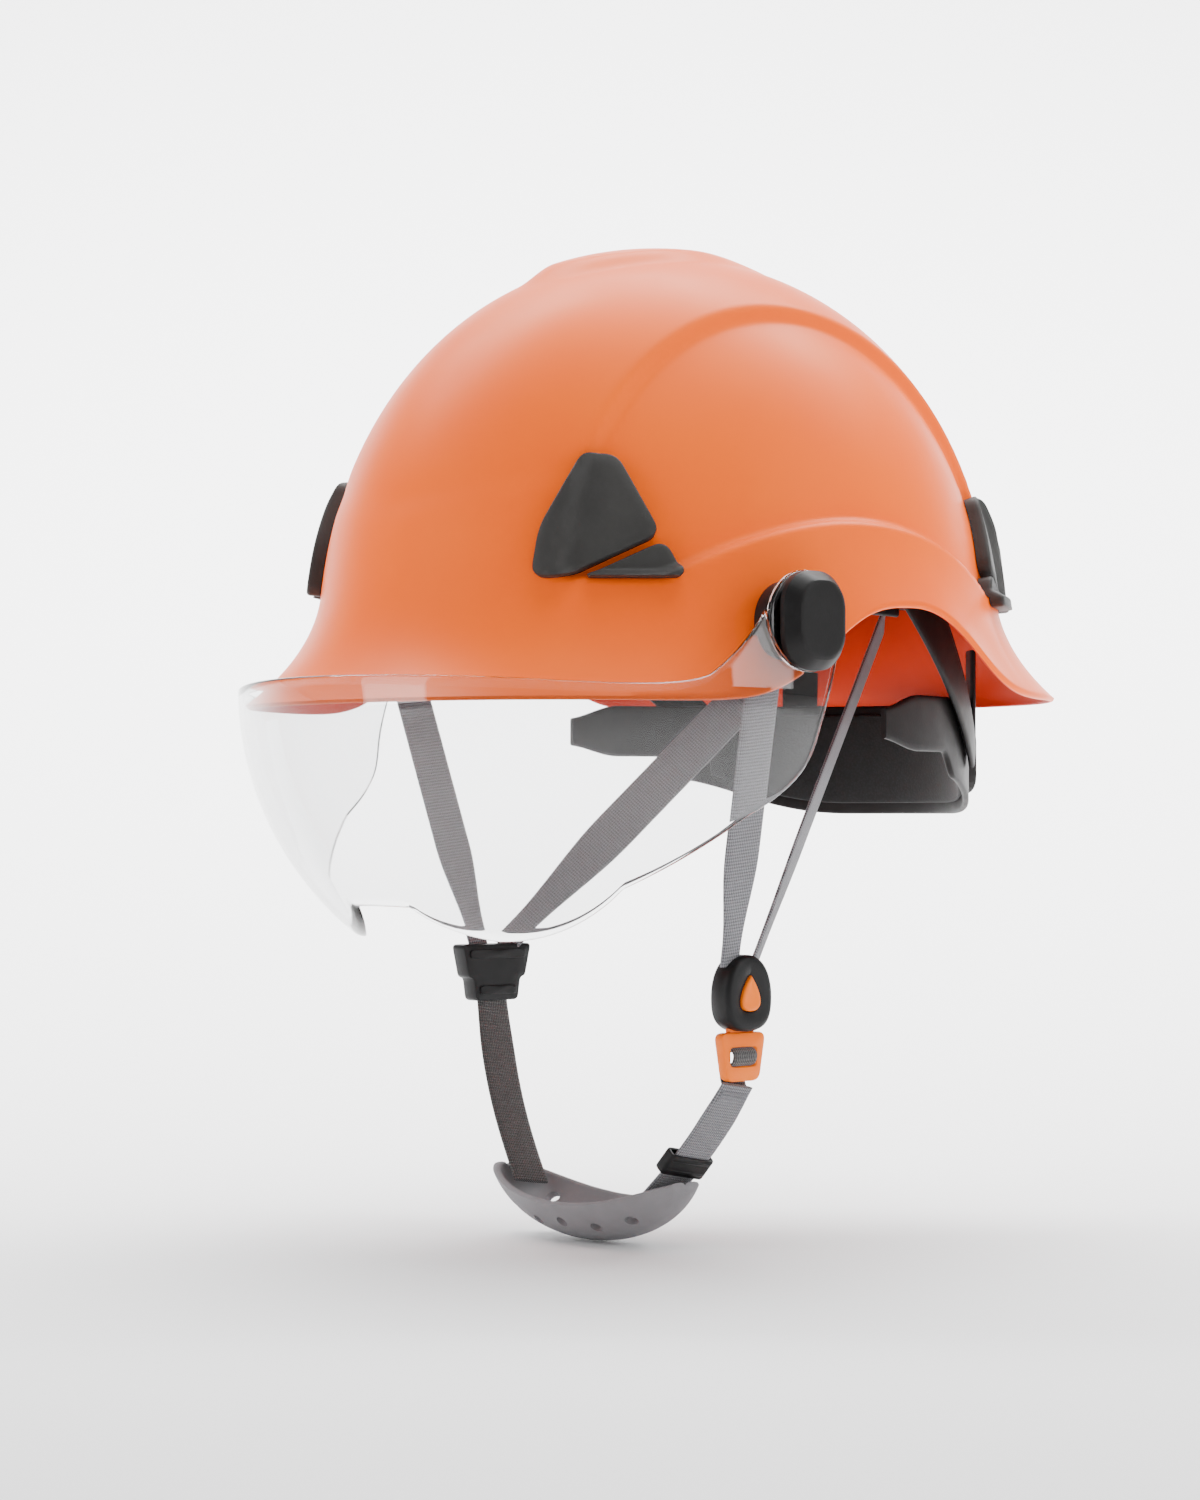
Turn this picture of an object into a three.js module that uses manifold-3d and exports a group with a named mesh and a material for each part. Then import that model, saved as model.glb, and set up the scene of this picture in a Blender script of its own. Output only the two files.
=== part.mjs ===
// Arborist helmet with a flip-up eye visor, a nape cradle and a four-point chin harness.
// Millimetres, +Z up, the wearer faces -Y and the wearer's left is +X.
// The origin is the centre of the head opening, on the plane of the brim.
import * as THREE from "three";
import { ParametricGeometry } from "three/addons/geometries/ParametricGeometry.js";
import { mergeVertices } from "three/addons/utils/BufferGeometryUtils.js";
import Module from "manifold-3d";

const wasm = await Module();
wasm.setup();

// ---- driving dimensions -------------------------------------------------------------------------
const GAP = 0.3; // between pieces that touch
const SLIDE_GAP = 0.5; // between pieces that slide on each other
const SEAT_GAP = 1; // between the shell's inner face and the anchors fixed to it

// Shell: a half ellipsoid over a flared skirt.
const SHELL_HALF_WIDTH = 107;
const SHELL_HALF_LENGTH = 124.5;
const SHELL_CENTRE_Y = 3.5;
const SHELL_EQUATOR_Z = 20;
const SHELL_CROWN_Z = 157;
const SHELL_WALL = 2.6;
const RIM_HALF_WIDTH = SHELL_HALF_WIDTH + 6;
const RIM_FRONT = SHELL_HALF_LENGTH + 20.5; // from the shell's centre to the tip of the brim
const RIM_REAR = SHELL_HALF_LENGTH + 14;
const RIM_SQUARENESS = 2.5; // exponent of the rim's superellipse
const BRIM_Z = 2;
const REAR_RIM_Z = 6;
const EAR_ARCH_RISE = 30;
const EAR_ARCH_Y = 9;
const EAR_ARCH_HALF_LENGTH = 42;
const LEDGE_Z = 60; // top of the side ledge, above the ear
const LEDGE_FALL = 20; // how far the ledge drops towards its ends
const LEDGE_HALF_LENGTH = 72;
const PANEL_HALF_WIDTH = 60; // raised crown panel
const PANEL_STEP = 4;
const CROWN_PAD = { halfWidth: 30, halfLength: 54, rise: 3 };

// Lamp clips: a rounded triangle, split by a diagonal slot into a hook and a wedge.
const CLIP = { azimuth: 42.5, bottomZ: 39.5, width: 48, height: 40, proud: 5, slot: 2.4, corner: 5 };
const CLIP_FORWARD = 15; // how far a clip sits off the azimuth line, away from the ear
const REAR_CLIP_DROP = 3.5;

// Visor: an ellipsoid of constant wall, trimmed to its side outline.
const PIVOT_Y = -39;
const PIVOT_Z = 26;
const VISOR_HALF_WIDTH = RIM_HALF_WIDTH + 4;
const VISOR_REACH = 1.054; // the lens's radius as a share of the way from the pivot to the brim's tip
const VISOR_RADIUS = (RIM_FRONT - SHELL_CENTRE_Y + PIVOT_Y) * VISOR_REACH;
const VISOR_CENTRE_Z = 8;
const VISOR_WALL = 2;
const PIVOT_TAB_RADIUS = 16;
const TAB_INNER_X = VISOR_HALF_WIDTH - VISOR_WALL - 1.4;
const TAB_WALL = 2.2;
const AXLE_RADIUS = 3;
const PIVOT_BASE_RADIUS = 13;
const AXLE_SEAT = 5; // how deep the axle stands in the base disc
const CAP = { halfWidth: 12, halfHeight: 14, depth: 7, corner: 6, bevel: 1.6 };

// Head ring.
const HEAD_HALF_WIDTH = 80;
const BROW_HALF_LENGTH = 96;
const HEAD_CENTRE_Y = 4;
const BAND_WALL = 2;
const BAND_HEIGHT = 28;
const BROW_Z = 30; // middle of the band at the brow
const TEMPLE_Z = 46; // middle of the band above the ears
const BAND_END_Y = 42;
const SWEATBAND_WALL = 3.2;
const CRADLE_HALF_LENGTH = 108;
const CRADLE_CENTRE_Y = 16;
const CRADLE_WALL = 2.2;
const CRADLE_TOP_Z = 6;
const CRADLE_END_Z = -13;
const CRADLE_BOTTOM_Z = -34;
const CRADLE_END_Y = 30;
const ARM_WIDTH = 20;
const HANGER = { sine: 0.86, width: 14, topZ: 24 };
const KNOB = { radius: 14, depth: 9, z: -14, ribs: 12, rib: 0.6 };
const RATCHET = { halfWidth: 24, halfHeight: 13, corner: 7, depth: 16, proud: 9 };
const SPINDLE = { radius: 4, seat: 5 };

// Crown suspension.
const ANCHOR_TOP_Z = 50;
const ANCHOR = { width: 22, height: 14 };
const ANCHOR_RADIUS = (HEAD_HALF_WIDTH + BROW_HALF_LENGTH) / 2 + 8; // to the ends of the crown straps
const CROWN_STRAP_RISE = SHELL_CROWN_Z - ANCHOR_TOP_Z - 27;
const CROWN_STRAP_LIFT = 3; // how far the upper strap passes over the lower one
const CROWN_WEBBING = { width: 19, thick: 1.4 };

// Chin harness.
const WEBBING = { width: 15, thick: 1.5, folded: 8 };
const DIVIDER_X = 65;
const DIVIDER_Y = -20;
const DIVIDER_TOP_Z = -80;
const DIVIDER = { halfTop: 15.5, halfStep: 12.5, halfNeck: 10.5, halfFoot: 9.5, height: 20, thick: 7 };
const DIVIDER_STEP_Z = -12; // the divider narrows here
const FRONT_ANCHOR = { x: SHELL_HALF_WIDTH - 12, y: -37, bottomZ: 22, height: 18, width: 19, depth: 16 };
const REAR_ANCHOR = { x: 18, y: SHELL_HALF_LENGTH - 27.5, bottomZ: 40, height: 16, width: 19, depth: 34 };
const STRAP_SPREAD = 6; // from the middle of the divider to each strap's end
const BUCKLE = { width: 20.5, height: 25, thick: 9 };
const BUTTON = { width: 8.5, height: 11.5, proud: 0.6, sink: 2.7, travel: 1 };
const TONGUE = { width: 20, height: 16, thick: 4, blade: 11, bladeThick: 2.4, bladeLength: 12, window: 6 };
const CHIN_Y = -28;
const CUP = { halfLength: 46, halfWidth: 22, depth: 22, wall: 2.6, tipZ: -156, sag: 9 };
const CUP_HOLES = { radius: 2.2, xs: [-30, -15, 0, 15, 30], aside: 14, tilt: 0.75, depth: 16 };
const CUP_STRAP_X = 33;
const KEEPER = { height: 8, thick: 4.6, width: WEBBING.width + 4, place: 0.68 };

const COLOURS = {
  orange: new THREE.Color(0xff6e1e),
  black: new THREE.Color(0x1d1c1d),
  clear: new THREE.Color(0xdfe3e4),
  webbing: new THREE.Color(0x6d6d72),
  rubber: new THREE.Color(0x85838a),
  foam: new THREE.Color(0x2a2a2c),
};

const SIDES = { left: 1, right: -1 };

// ---- solids ---------------------------------------------------------------------------------------
// A closed three.js geometry as a solid that can be joined and cut.
function solid(geometry) {
  const bare = geometry.index ? geometry.toNonIndexed() : geometry.clone();
  for (const name of Object.keys(bare.attributes)) {
    if (name !== "position") bare.deleteAttribute(name);
  }
  const merged = mergeVertices(bare, 1e-4);
  const corners = merged.index.array;
  const faces = [];
  for (let i = 0; i < corners.length; i += 3) {
    const [a, b, c] = [corners[i], corners[i + 1], corners[i + 2]];
    if (a !== b && b !== c && c !== a) faces.push(a, b, c);
  }
  const build = (triVerts) =>
    new wasm.Manifold(
      new wasm.Mesh({ numProp: 3, vertProperties: merged.attributes.position.array, triVerts }),
    );
  const made = build(new Uint32Array(faces));
  return made.volume() > 0 ? made : build(new Uint32Array(faces.reverse()));
}

function geometryOf(manifold) {
  const mesh = manifold.getMesh();
  const points = new Float32Array(mesh.numVert * 3);
  for (let i = 0; i < mesh.numVert; i++) {
    for (let k = 0; k < 3; k++) points[3 * i + k] = mesh.vertProperties[i * mesh.numProp + k];
  }
  const geometry = new THREE.BufferGeometry();
  geometry.setAttribute("position", new THREE.BufferAttribute(points, 3));
  geometry.setIndex(new THREE.BufferAttribute(new Uint32Array(mesh.triVerts), 1));
  geometry.computeVertexNormals();
  return geometry;
}

function boxAt(x, y, z, width, length, height) {
  return solid(new THREE.BoxGeometry(width, length, height).translate(x, y, z));
}

// A closed loft: section(v, a) gives the point at fraction v of the way along and a of the way round.
function loft(section, steps, sides) {
  const middle = (v) => {
    const sum = new THREE.Vector3();
    for (let k = 0; k < sides; k++) sum.add(section(v, k / sides));
    return sum.divideScalar(sides);
  };
  const place = (round, along, target) => {
    const row = Math.round(along * (steps + 2)) - 1;
    if (row < 0) target.copy(middle(0));
    else if (row > steps) target.copy(middle(1));
    else target.copy(section(row / steps, round === 1 ? 0 : round));
  };
  return solid(new ParametricGeometry(place, sides, steps + 2));
}

// A flat band of four-sided section, along path(v), its flat face turned to facing(v).
function band(path, facing, width, thick, steps) {
  const section = (v, a) => {
    const ahead = path(Math.min(v + 0.01, 1)).sub(path(Math.max(v - 0.01, 0))).normalize();
    const side = new THREE.Vector3().crossVectors(facing(v), ahead).normalize();
    const up = new THREE.Vector3().crossVectors(ahead, side);
    const corner = Math.round(a * 4) % 4;
    const wide = typeof width === "function" ? width(v) : width;
    return path(v)
      .addScaledVector(side, ((corner === 0 || corner === 3 ? 1 : -1) * wide) / 2)
      .addScaledVector(up, ((corner < 2 ? 1 : -1) * thick) / 2);
  };
  return loft(section, steps, 4);
}

function extruded(shape, depth, segments = 6) {
  return new THREE.ExtrudeGeometry(shape, { depth, bevelEnabled: false, curveSegments: segments });
}

// A shape drawn in (Y, Z) and extruded along X from x0.
function alongX(shape, x0, depth, segments) {
  const turned = new THREE.Matrix4().set(0, 0, 1, x0, 1, 0, 0, 0, 0, 1, 0, 0, 0, 0, 0, 1);
  return solid(extruded(shape, depth, segments).applyMatrix4(turned));
}

// A polygon of [x, y] corners with each corner rounded off.
function roundedPolygon(corners, radius) {
  const shape = new THREE.Shape();
  corners.forEach((corner, i) => {
    const here = new THREE.Vector2(...corner);
    const before = new THREE.Vector2(...corners.at(i - 1));
    const after = new THREE.Vector2(...corners[(i + 1) % corners.length]);
    const enter = here.clone().add(before.sub(here).setLength(radius));
    const leave = here.clone().add(after.sub(here).setLength(radius));
    if (i === 0) shape.moveTo(enter.x, enter.y);
    else shape.lineTo(enter.x, enter.y);
    shape.quadraticCurveTo(here.x, here.y, leave.x, leave.y);
  });
  shape.closePath();
  return shape;
}

function roundedBox(halfWidth, halfHeight, radius) {
  const corners = [
    [-halfWidth, -halfHeight],
    [halfWidth, -halfHeight],
    [halfWidth, halfHeight],
    [-halfWidth, halfHeight],
  ];
  return roundedPolygon(corners, radius);
}

// ---- shell surface --------------------------------------------------------------------------------
const smooth = (value, from, to) => THREE.MathUtils.smoothstep(value, from, to);

function superellipse(angle, alongXAxis, alongYAxis, power) {
  const cx = Math.abs(Math.cos(angle)) / alongXAxis;
  const cy = Math.abs(Math.sin(angle)) / alongYAxis;
  return (cx ** power + cy ** power) ** (-1 / power);
}

const ledgeZ = (y) => LEDGE_Z - LEDGE_FALL * Math.min((y / LEDGE_HALF_LENGTH) ** 2, 1);

function rimZ(angle) {
  const y = SHELL_CENTRE_Y + rimRadius(angle) * Math.sin(angle);
  const base = THREE.MathUtils.mapLinear(smooth(y, -60, 110), 0, 1, BRIM_Z, REAR_RIM_Z);
  const away = Math.abs(y - EAR_ARCH_Y) / EAR_ARCH_HALF_LENGTH;
  return base + EAR_ARCH_RISE * Math.exp(-(away ** 2.6));
}

function rimRadius(angle) {
  const halfLength = Math.sin(angle) < 0 ? RIM_FRONT : RIM_REAR;
  return superellipse(angle, RIM_HALF_WIDTH, halfLength, RIM_SQUARENESS);
}

// The point at a plan angle and a height, before the wall and the raised areas are added.
function skinPoint(angle, z) {
  const lift = Math.max(z - SHELL_EQUATOR_Z, 0) / (SHELL_CROWN_Z - SHELL_EQUATOR_Z);
  const taper = Math.max(1 - lift ** 2.1, 0) ** (1 / 2.1);
  const dome = superellipse(angle, SHELL_HALF_WIDTH, SHELL_HALF_LENGTH, 2);
  const top = ledgeZ(SHELL_CENTRE_Y + dome * Math.sin(angle));
  const flare = Math.max(top - z, 0) / (top - rimZ(angle));
  const radius = dome * taper + (rimRadius(angle) - dome) * flare ** 2;
  return new THREE.Vector3(radius * Math.cos(angle), SHELL_CENTRE_Y + radius * Math.sin(angle), z);
}

function outward(point) {
  const x = point.x / SHELL_HALF_WIDTH ** 2;
  const y = (point.y - SHELL_CENTRE_Y) / SHELL_HALF_LENGTH ** 2;
  const z = Math.max(point.z - SHELL_EQUATOR_Z, 0) / (SHELL_CROWN_Z - SHELL_EQUATOR_Z) ** 2;
  return new THREE.Vector3(x, y, z).normalize();
}

// The shell's outer surface: the side areas sit below the crown panel, the crown pad stands proud.
function shellPoint(angle, z, offset) {
  const point = skinPoint(angle, z);
  const beside = smooth(Math.abs(point.x), PANEL_HALF_WIDTH, PANEL_HALF_WIDTH + 8);
  const above = smooth(z, ledgeZ(point.y) - 1, ledgeZ(point.y) + 4);
  const pad = Math.hypot(point.x / CROWN_PAD.halfWidth, point.y / CROWN_PAD.halfLength);
  const rise = CROWN_PAD.rise * (1 - smooth(pad, 0.75, 1.1)) - PANEL_STEP * beside * above;
  return point.clone().addScaledVector(outward(point), rise + offset);
}

function heightAt(angle, fraction) {
  return rimZ(angle) + (SHELL_CROWN_Z - rimZ(angle)) * Math.cos((fraction * Math.PI) / 2);
}

const SHELL_SIDES = 64;
const SHELL_ROWS = 17;

// The full dome, closed well below the rim: its offset skin cuts and trims what meets the shell.
function domeSolid(offset) {
  const floor = -40;
  const place = (round, along, target) => {
    const angle = 2 * Math.PI * (round === 1 ? 0 : round);
    const row = along * (SHELL_ROWS + 2);
    if (row < 0.5) {
      target.copy(shellPoint(0, SHELL_CROWN_Z, offset));
      return;
    }
    if (row <= SHELL_ROWS) {
      target.copy(shellPoint(angle, heightAt(angle, row / SHELL_ROWS), offset));
      return;
    }
    target.copy(shellPoint(angle, rimZ(angle), offset)).setZ(floor);
    if (row > SHELL_ROWS + 1.5) target.set(0, SHELL_CENTRE_Y, floor);
  };
  return solid(new ParametricGeometry(place, SHELL_SIDES, SHELL_ROWS + 2));
}

function shell() {
  const place = (round, along, target) => {
    const angle = 2 * Math.PI * (round === 1 ? 0 : round);
    const row = Math.round(along * (2 * SHELL_ROWS + 1));
    const outer = row <= SHELL_ROWS;
    const fraction = (outer ? row : 2 * SHELL_ROWS + 1 - row) / SHELL_ROWS;
    const offset = outer ? 0 : -SHELL_WALL;
    const atCrown = fraction < 1e-6;
    const z = atCrown ? SHELL_CROWN_Z : heightAt(angle, fraction);
    target.copy(shellPoint(atCrown ? 0 : angle, z, offset));
  };
  return solid(new ParametricGeometry(place, SHELL_SIDES, 2 * SHELL_ROWS + 1));
}

const outside = domeSolid(GAP);
const inside = domeSolid(-SHELL_WALL - SEAT_GAP);

// ---- lamp clips -----------------------------------------------------------------------------------
// Outline of a clip in (along the shell, up), with its lower edge at zero.
const clipCorners = [
  [-CLIP.width / 2, 0],
  [CLIP.width / 2, 0],
  [2, CLIP.height],
  [-8, CLIP.height],
  [-CLIP.width * 0.45, CLIP.height * 0.38],
];

// The slot runs from the lower edge up to the right-hand side.
const slotStart = new THREE.Vector2(-CLIP.width * 0.25, 0);
const slotEnd = new THREE.Vector2(CLIP.width * 0.36, CLIP.height * 0.34);

function besideSlot(side) {
  const along = slotEnd.clone().sub(slotStart).normalize();
  const across = new THREE.Vector2(-along.y, along.x).multiplyScalar(side);
  const near = slotStart.clone().addScaledVector(across, CLIP.slot / 2);
  const reach = 2 * CLIP.width;
  const corners = [
    near.clone().addScaledVector(along, -reach),
    near.clone().addScaledVector(along, reach),
    near.clone().addScaledVector(along, reach).addScaledVector(across, reach),
    near.clone().addScaledVector(along, -reach).addScaledVector(across, reach),
  ];
  return new THREE.Shape(corners);
}

const CLIP_START = SHELL_HALF_WIDTH * 0.56; // inside the shell, where the clips' outlines begin

// front is -1 for the front clips and +1 for the rear ones; left is +1 for the wearer's left.
function clipPiece(left, front, side) {
  const drop = front > 0 ? REAR_CLIP_DROP : 0;
  const angle = THREE.MathUtils.degToRad(CLIP.azimuth);
  const facing = new THREE.Vector3(left * Math.cos(angle), front * Math.sin(angle), 0);
  const along = new THREE.Vector3(left * Math.sin(angle), -front * Math.cos(angle), 0);
  const up = new THREE.Vector3(0, 0, 1);
  const place = new THREE.Matrix4().makeBasis(along, up, facing);
  const corner = facing.clone().multiplyScalar(CLIP_START).addScaledVector(along, -CLIP_FORWARD);
  place.setPosition(corner.x, SHELL_CENTRE_Y + corner.y, CLIP.bottomZ - drop);
  const outlineShape = roundedPolygon(clipCorners, CLIP.corner);
  const outline = solid(extruded(outlineShape, SHELL_HALF_LENGTH, 4).applyMatrix4(place));
  const half = solid(extruded(besideSlot(side), SHELL_HALF_LENGTH).applyMatrix4(place));
  return outline.intersect(half).intersect(clipSkin).subtract(outside);
}

const clipSkin = domeSolid(CLIP.proud);

// ---- visor ----------------------------------------------------------------------------------------
function ellipsoid(shrink, segments) {
  const sphere = new THREE.SphereGeometry(1, segments, segments * 0.6);
  sphere.scale(VISOR_HALF_WIDTH - shrink, VISOR_RADIUS - shrink, VISOR_RADIUS - shrink);
  return solid(sphere.translate(0, PIVOT_Y, VISOR_CENTRE_Z));
}

// Side outline of the lens in (Y, Z): in to the pivot, down the trailing edge, the cheek and the nose.
function visorOutline() {
  const y = (forward) => PIVOT_Y - forward * VISOR_RADIUS;
  const z = (up) => VISOR_CENTRE_Z + up * VISOR_RADIUS;
  const shape = new THREE.Shape();
  shape.moveTo(y(1.05), z(0.01));
  shape.lineTo(y(0.8), z(-0.01));
  shape.quadraticCurveTo(y(0.42), z(-0.05), y(0.33), z(0));
  shape.quadraticCurveTo(y(0.2), z(0.1), PIVOT_Y - 9, PIVOT_Z + 11);
  shape.lineTo(PIVOT_Y, PIVOT_Z);
  shape.lineTo(PIVOT_Y + 15, PIVOT_Z - 5);
  shape.quadraticCurveTo(PIVOT_Y + 7, z(-0.075), PIVOT_Y + 4, z(-0.2));
  shape.quadraticCurveTo(PIVOT_Y + 1, z(-0.3), y(0.15), z(-0.39));
  shape.lineTo(y(0.415), z(-0.6));
  shape.quadraticCurveTo(y(0.455), z(-0.76), y(0.565), z(-0.76));
  shape.quadraticCurveTo(y(0.66), z(-0.74), y(0.74), z(-0.66));
  shape.lineTo(y(1.05), z(-0.61));
  shape.closePath();
  return shape;
}

// Each end of the lens is a flat round tab on the pivot axis, so that it turns clear of the shell.
function visorLens() {
  const sheet = ellipsoid(0, 44).subtract(ellipsoid(VISOR_WALL, 44));
  const reach = VISOR_HALF_WIDTH + 5;
  let lens = sheet.intersect(alongX(visorOutline(), -reach, 2 * reach, 8));
  for (const left of Object.values(SIDES)) {
    const opening = cylinderX(PIVOT_TAB_RADIUS - 0.5, TAB_INNER_X - 10, 20, 40);
    const tab = cylinderX(PIVOT_TAB_RADIUS, TAB_INNER_X, TAB_WALL, 40);
    lens = lens.subtract(mirrorX(opening, left)).add(mirrorX(tab, left));
  }
  return lens.subtract(cylinderX(AXLE_RADIUS + GAP, -reach, 2 * reach));
}

// A cylinder along X on the pivot axis, from x0.
function cylinderX(radius, x0, length, segments = 24) {
  const made = new THREE.CylinderGeometry(radius, radius, length, segments).rotateZ(Math.PI / 2);
  return solid(made.translate(x0 + length / 2, PIVOT_Y, PIVOT_Z));
}

const mirrorX = (manifold, left) => (left > 0 ? manifold : manifold.mirror([1, 0, 0]));

const DISC_TOP_X = TAB_INNER_X - SLIDE_GAP;

function pivotBase(left) {
  const start = SHELL_HALF_WIDTH - 15;
  const disc = cylinderX(PIVOT_BASE_RADIUS, start, DISC_TOP_X - start);
  const bore = cylinderX(AXLE_RADIUS + GAP, DISC_TOP_X - AXLE_SEAT, 20);
  return mirrorX(disc.subtract(outside).subtract(bore), left);
}

function pivotAxle(left) {
  const start = DISC_TOP_X - AXLE_SEAT + GAP;
  return mirrorX(cylinderX(AXLE_RADIUS, start, TAB_INNER_X + TAB_WALL - start, 20), left);
}

function pivotCap(left) {
  const outline = roundedBox(CAP.halfWidth, CAP.halfHeight, CAP.corner);
  const place = new THREE.Matrix4().set(0, 0, 1, 0, 1, 0, 0, PIVOT_Y, 0, 1, 0, PIVOT_Z, 0, 0, 0, 1);
  const edge = { bevelThickness: CAP.bevel, bevelSize: CAP.bevel, bevelSegments: 2, curveSegments: 4 };
  const block = new THREE.ExtrudeGeometry(outline, { depth: CAP.depth - 2 * CAP.bevel, ...edge });
  block.translate(0, 0, TAB_INNER_X + TAB_WALL + GAP + CAP.bevel);
  return mirrorX(solid(block.applyMatrix4(place)).subtract(ellipsoid(-GAP, 44)), left);
}

// ---- head ring ------------------------------------------------------------------------------------
// A strip of ring between two plan angles: radius along X and Y, middle height and height by angle.
function ringStrip({ halfWidth, halfLength, centreY, wall, from, to, low, high, steps }) {
  const section = (v, a) => {
    const angle = THREE.MathUtils.lerp(from, to, v);
    const corner = Math.round(a * 4) % 4;
    const grow = corner === 0 || corner === 3 ? wall : 0;
    const z = corner < 2 ? high(angle) : low(angle);
    return new THREE.Vector3(
      (halfWidth + grow) * Math.cos(angle),
      centreY + (halfLength + grow) * Math.sin(angle),
      z,
    );
  };
  return loft(section, steps, 4);
}

const bandEnd = Math.asin((BAND_END_Y - HEAD_CENTRE_Y) / BROW_HALF_LENGTH);
const bandMiddle = (angle) =>
  THREE.MathUtils.lerp(TEMPLE_Z, BROW_Z, smooth(-Math.sin(angle), 0, 1));

function headband(shrink, wall, trim, from, to, steps) {
  return ringStrip({
    halfWidth: HEAD_HALF_WIDTH - shrink,
    halfLength: BROW_HALF_LENGTH - shrink,
    centreY: HEAD_CENTRE_Y,
    wall,
    from,
    to,
    low: (angle) => bandMiddle(angle) - BAND_HEIGHT / 2 + trim,
    high: (angle) => bandMiddle(angle) + BAND_HEIGHT / 2 - trim,
    steps,
  });
}

const cradleEnd = Math.asin((CRADLE_END_Y - CRADLE_CENTRE_Y) / CRADLE_HALF_LENGTH);

function napeCradle() {
  const endSine = Math.sin(cradleEnd);
  const step = (angle) => smooth(Math.sin(angle), 0.47, 0.56);
  const sweep = (angle) => smooth(Math.sin(angle), 0.5, 0.95);
  const drop = (angle) => THREE.MathUtils.lerp(step(angle), sweep(angle), 0.6);
  const tip = (angle) => 1 - smooth(Math.sin(angle), endSine - 0.02, endSine + 0.18);
  return ringStrip({
    halfWidth: HEAD_HALF_WIDTH,
    halfLength: CRADLE_HALF_LENGTH,
    centreY: CRADLE_CENTRE_Y,
    wall: CRADLE_WALL,
    from: cradleEnd,
    to: Math.PI - cradleEnd,
    low: (angle) => THREE.MathUtils.lerp(CRADLE_END_Z, CRADLE_BOTTOM_Z, drop(angle)) + 4 * tip(angle),
    high: (angle) => CRADLE_TOP_Z - 5 * tip(angle),
    steps: 40,
  });
}

// A point on the cradle's outer face, off it by a distance.
function cradlePoint(sine, z, off) {
  const cosine = Math.sqrt(1 - sine * sine);
  return new THREE.Vector3(
    (HEAD_HALF_WIDTH + CRADLE_WALL + off) * cosine,
    CRADLE_CENTRE_Y + (CRADLE_HALF_LENGTH + CRADLE_WALL + off) * sine,
    z,
  );
}

// The outward direction of the cradle's face there.
function cradleFacing(sine) {
  const cosine = Math.sqrt(1 - sine * sine);
  return new THREE.Vector3(cosine / HEAD_HALF_WIDTH, sine / CRADLE_HALF_LENGTH, 0).normalize();
}

// The arms climb from the back of the cradle to the ends of the headband.
function cradleArm(left, clearance = 0) {
  const sine = (v) => THREE.MathUtils.lerp(0.2, 0.72, v);
  const height = (v) => THREE.MathUtils.lerp(TEMPLE_Z, CRADLE_BOTTOM_Z + 20, v);
  const path = (v) => cradlePoint(sine(v), height(v), CRADLE_WALL / 2 + 2 * GAP + 1.5 * (1 - v));
  const width = (v) => THREE.MathUtils.lerp(ARM_WIDTH, ARM_WIDTH * 0.55, v) + 2 * clearance;
  const thick = CRADLE_WALL + 2 * clearance;
  return mirrorX(band(path, (v) => cradleFacing(sine(v)), width, thick, 14), left);
}

function rearHanger(left) {
  const low = cradlePoint(HANGER.sine, -6, CRADLE_WALL / 2 + 2 * GAP);
  const path = (v) => low.clone().setZ(THREE.MathUtils.lerp(low.z, HANGER.topZ, v));
  return mirrorX(band(path, () => cradleFacing(HANGER.sine), HANGER.width, CRADLE_WALL, 2), left);
}

const RATCHET_Y = CRADLE_CENTRE_Y + CRADLE_HALF_LENGTH + CRADLE_WALL;

const spindleY = RATCHET_Y + RATCHET.proud - SPINDLE.seat;

// Moves a shape drawn in (X, Z) so that its extrusion ends at y on the knob's axis.
const onKnobAxis = (y) => new THREE.Matrix4().set(1, 0, 0, 0, 0, 0, -1, y, 0, 1, 0, KNOB.z, 0, 0, 0, 1);

function ratchetBox() {
  const outline = roundedBox(RATCHET.halfWidth, RATCHET.halfHeight, RATCHET.corner);
  const block = extruded(outline, RATCHET.depth, 5).applyMatrix4(onKnobAxis(RATCHET_Y + RATCHET.proud));
  const wall = ringStrip({
    halfWidth: HEAD_HALF_WIDTH - RATCHET.depth,
    halfLength: CRADLE_HALF_LENGTH - RATCHET.depth,
    centreY: CRADLE_CENTRE_Y,
    wall: RATCHET.depth + CRADLE_WALL + GAP,
    from: cradleEnd,
    to: Math.PI - cradleEnd,
    low: () => KNOB.z - 2 * RATCHET.halfHeight,
    high: () => KNOB.z + 2 * RATCHET.halfHeight,
    steps: 40,
  });
  const spindleHole = knobCylinder(SPINDLE.radius + GAP, spindleY, RATCHET.proud);
  return solid(block).subtract(wall).subtract(spindleHole);
}

function knobCylinder(radius, y0, length) {
  const made = new THREE.CylinderGeometry(radius, radius, length, 20);
  return solid(made.translate(0, y0 + length / 2, KNOB.z));
}

function sizeKnob() {
  const steps = KNOB.ribs * 4;
  const corners = [];
  for (let k = 0; k < steps; k++) {
    const angle = (2 * Math.PI * k) / steps;
    const radius = KNOB.radius + KNOB.rib * Math.cos(angle * KNOB.ribs);
    corners.push(new THREE.Vector2(radius * Math.cos(angle), radius * Math.sin(angle)));
  }
  const front = RATCHET_Y + RATCHET.proud + SLIDE_GAP;
  const rim = extruded(new THREE.Shape(corners), KNOB.depth).applyMatrix4(onKnobAxis(front + KNOB.depth));
  return solid(rim).add(knobCylinder(SPINDLE.radius, spindleY + GAP, RATCHET.proud));
}

// ---- crown suspension -----------------------------------------------------------------------------
const anchorAngle = (left, front) => Math.atan2(front * 0.72, left * 0.69);

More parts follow.
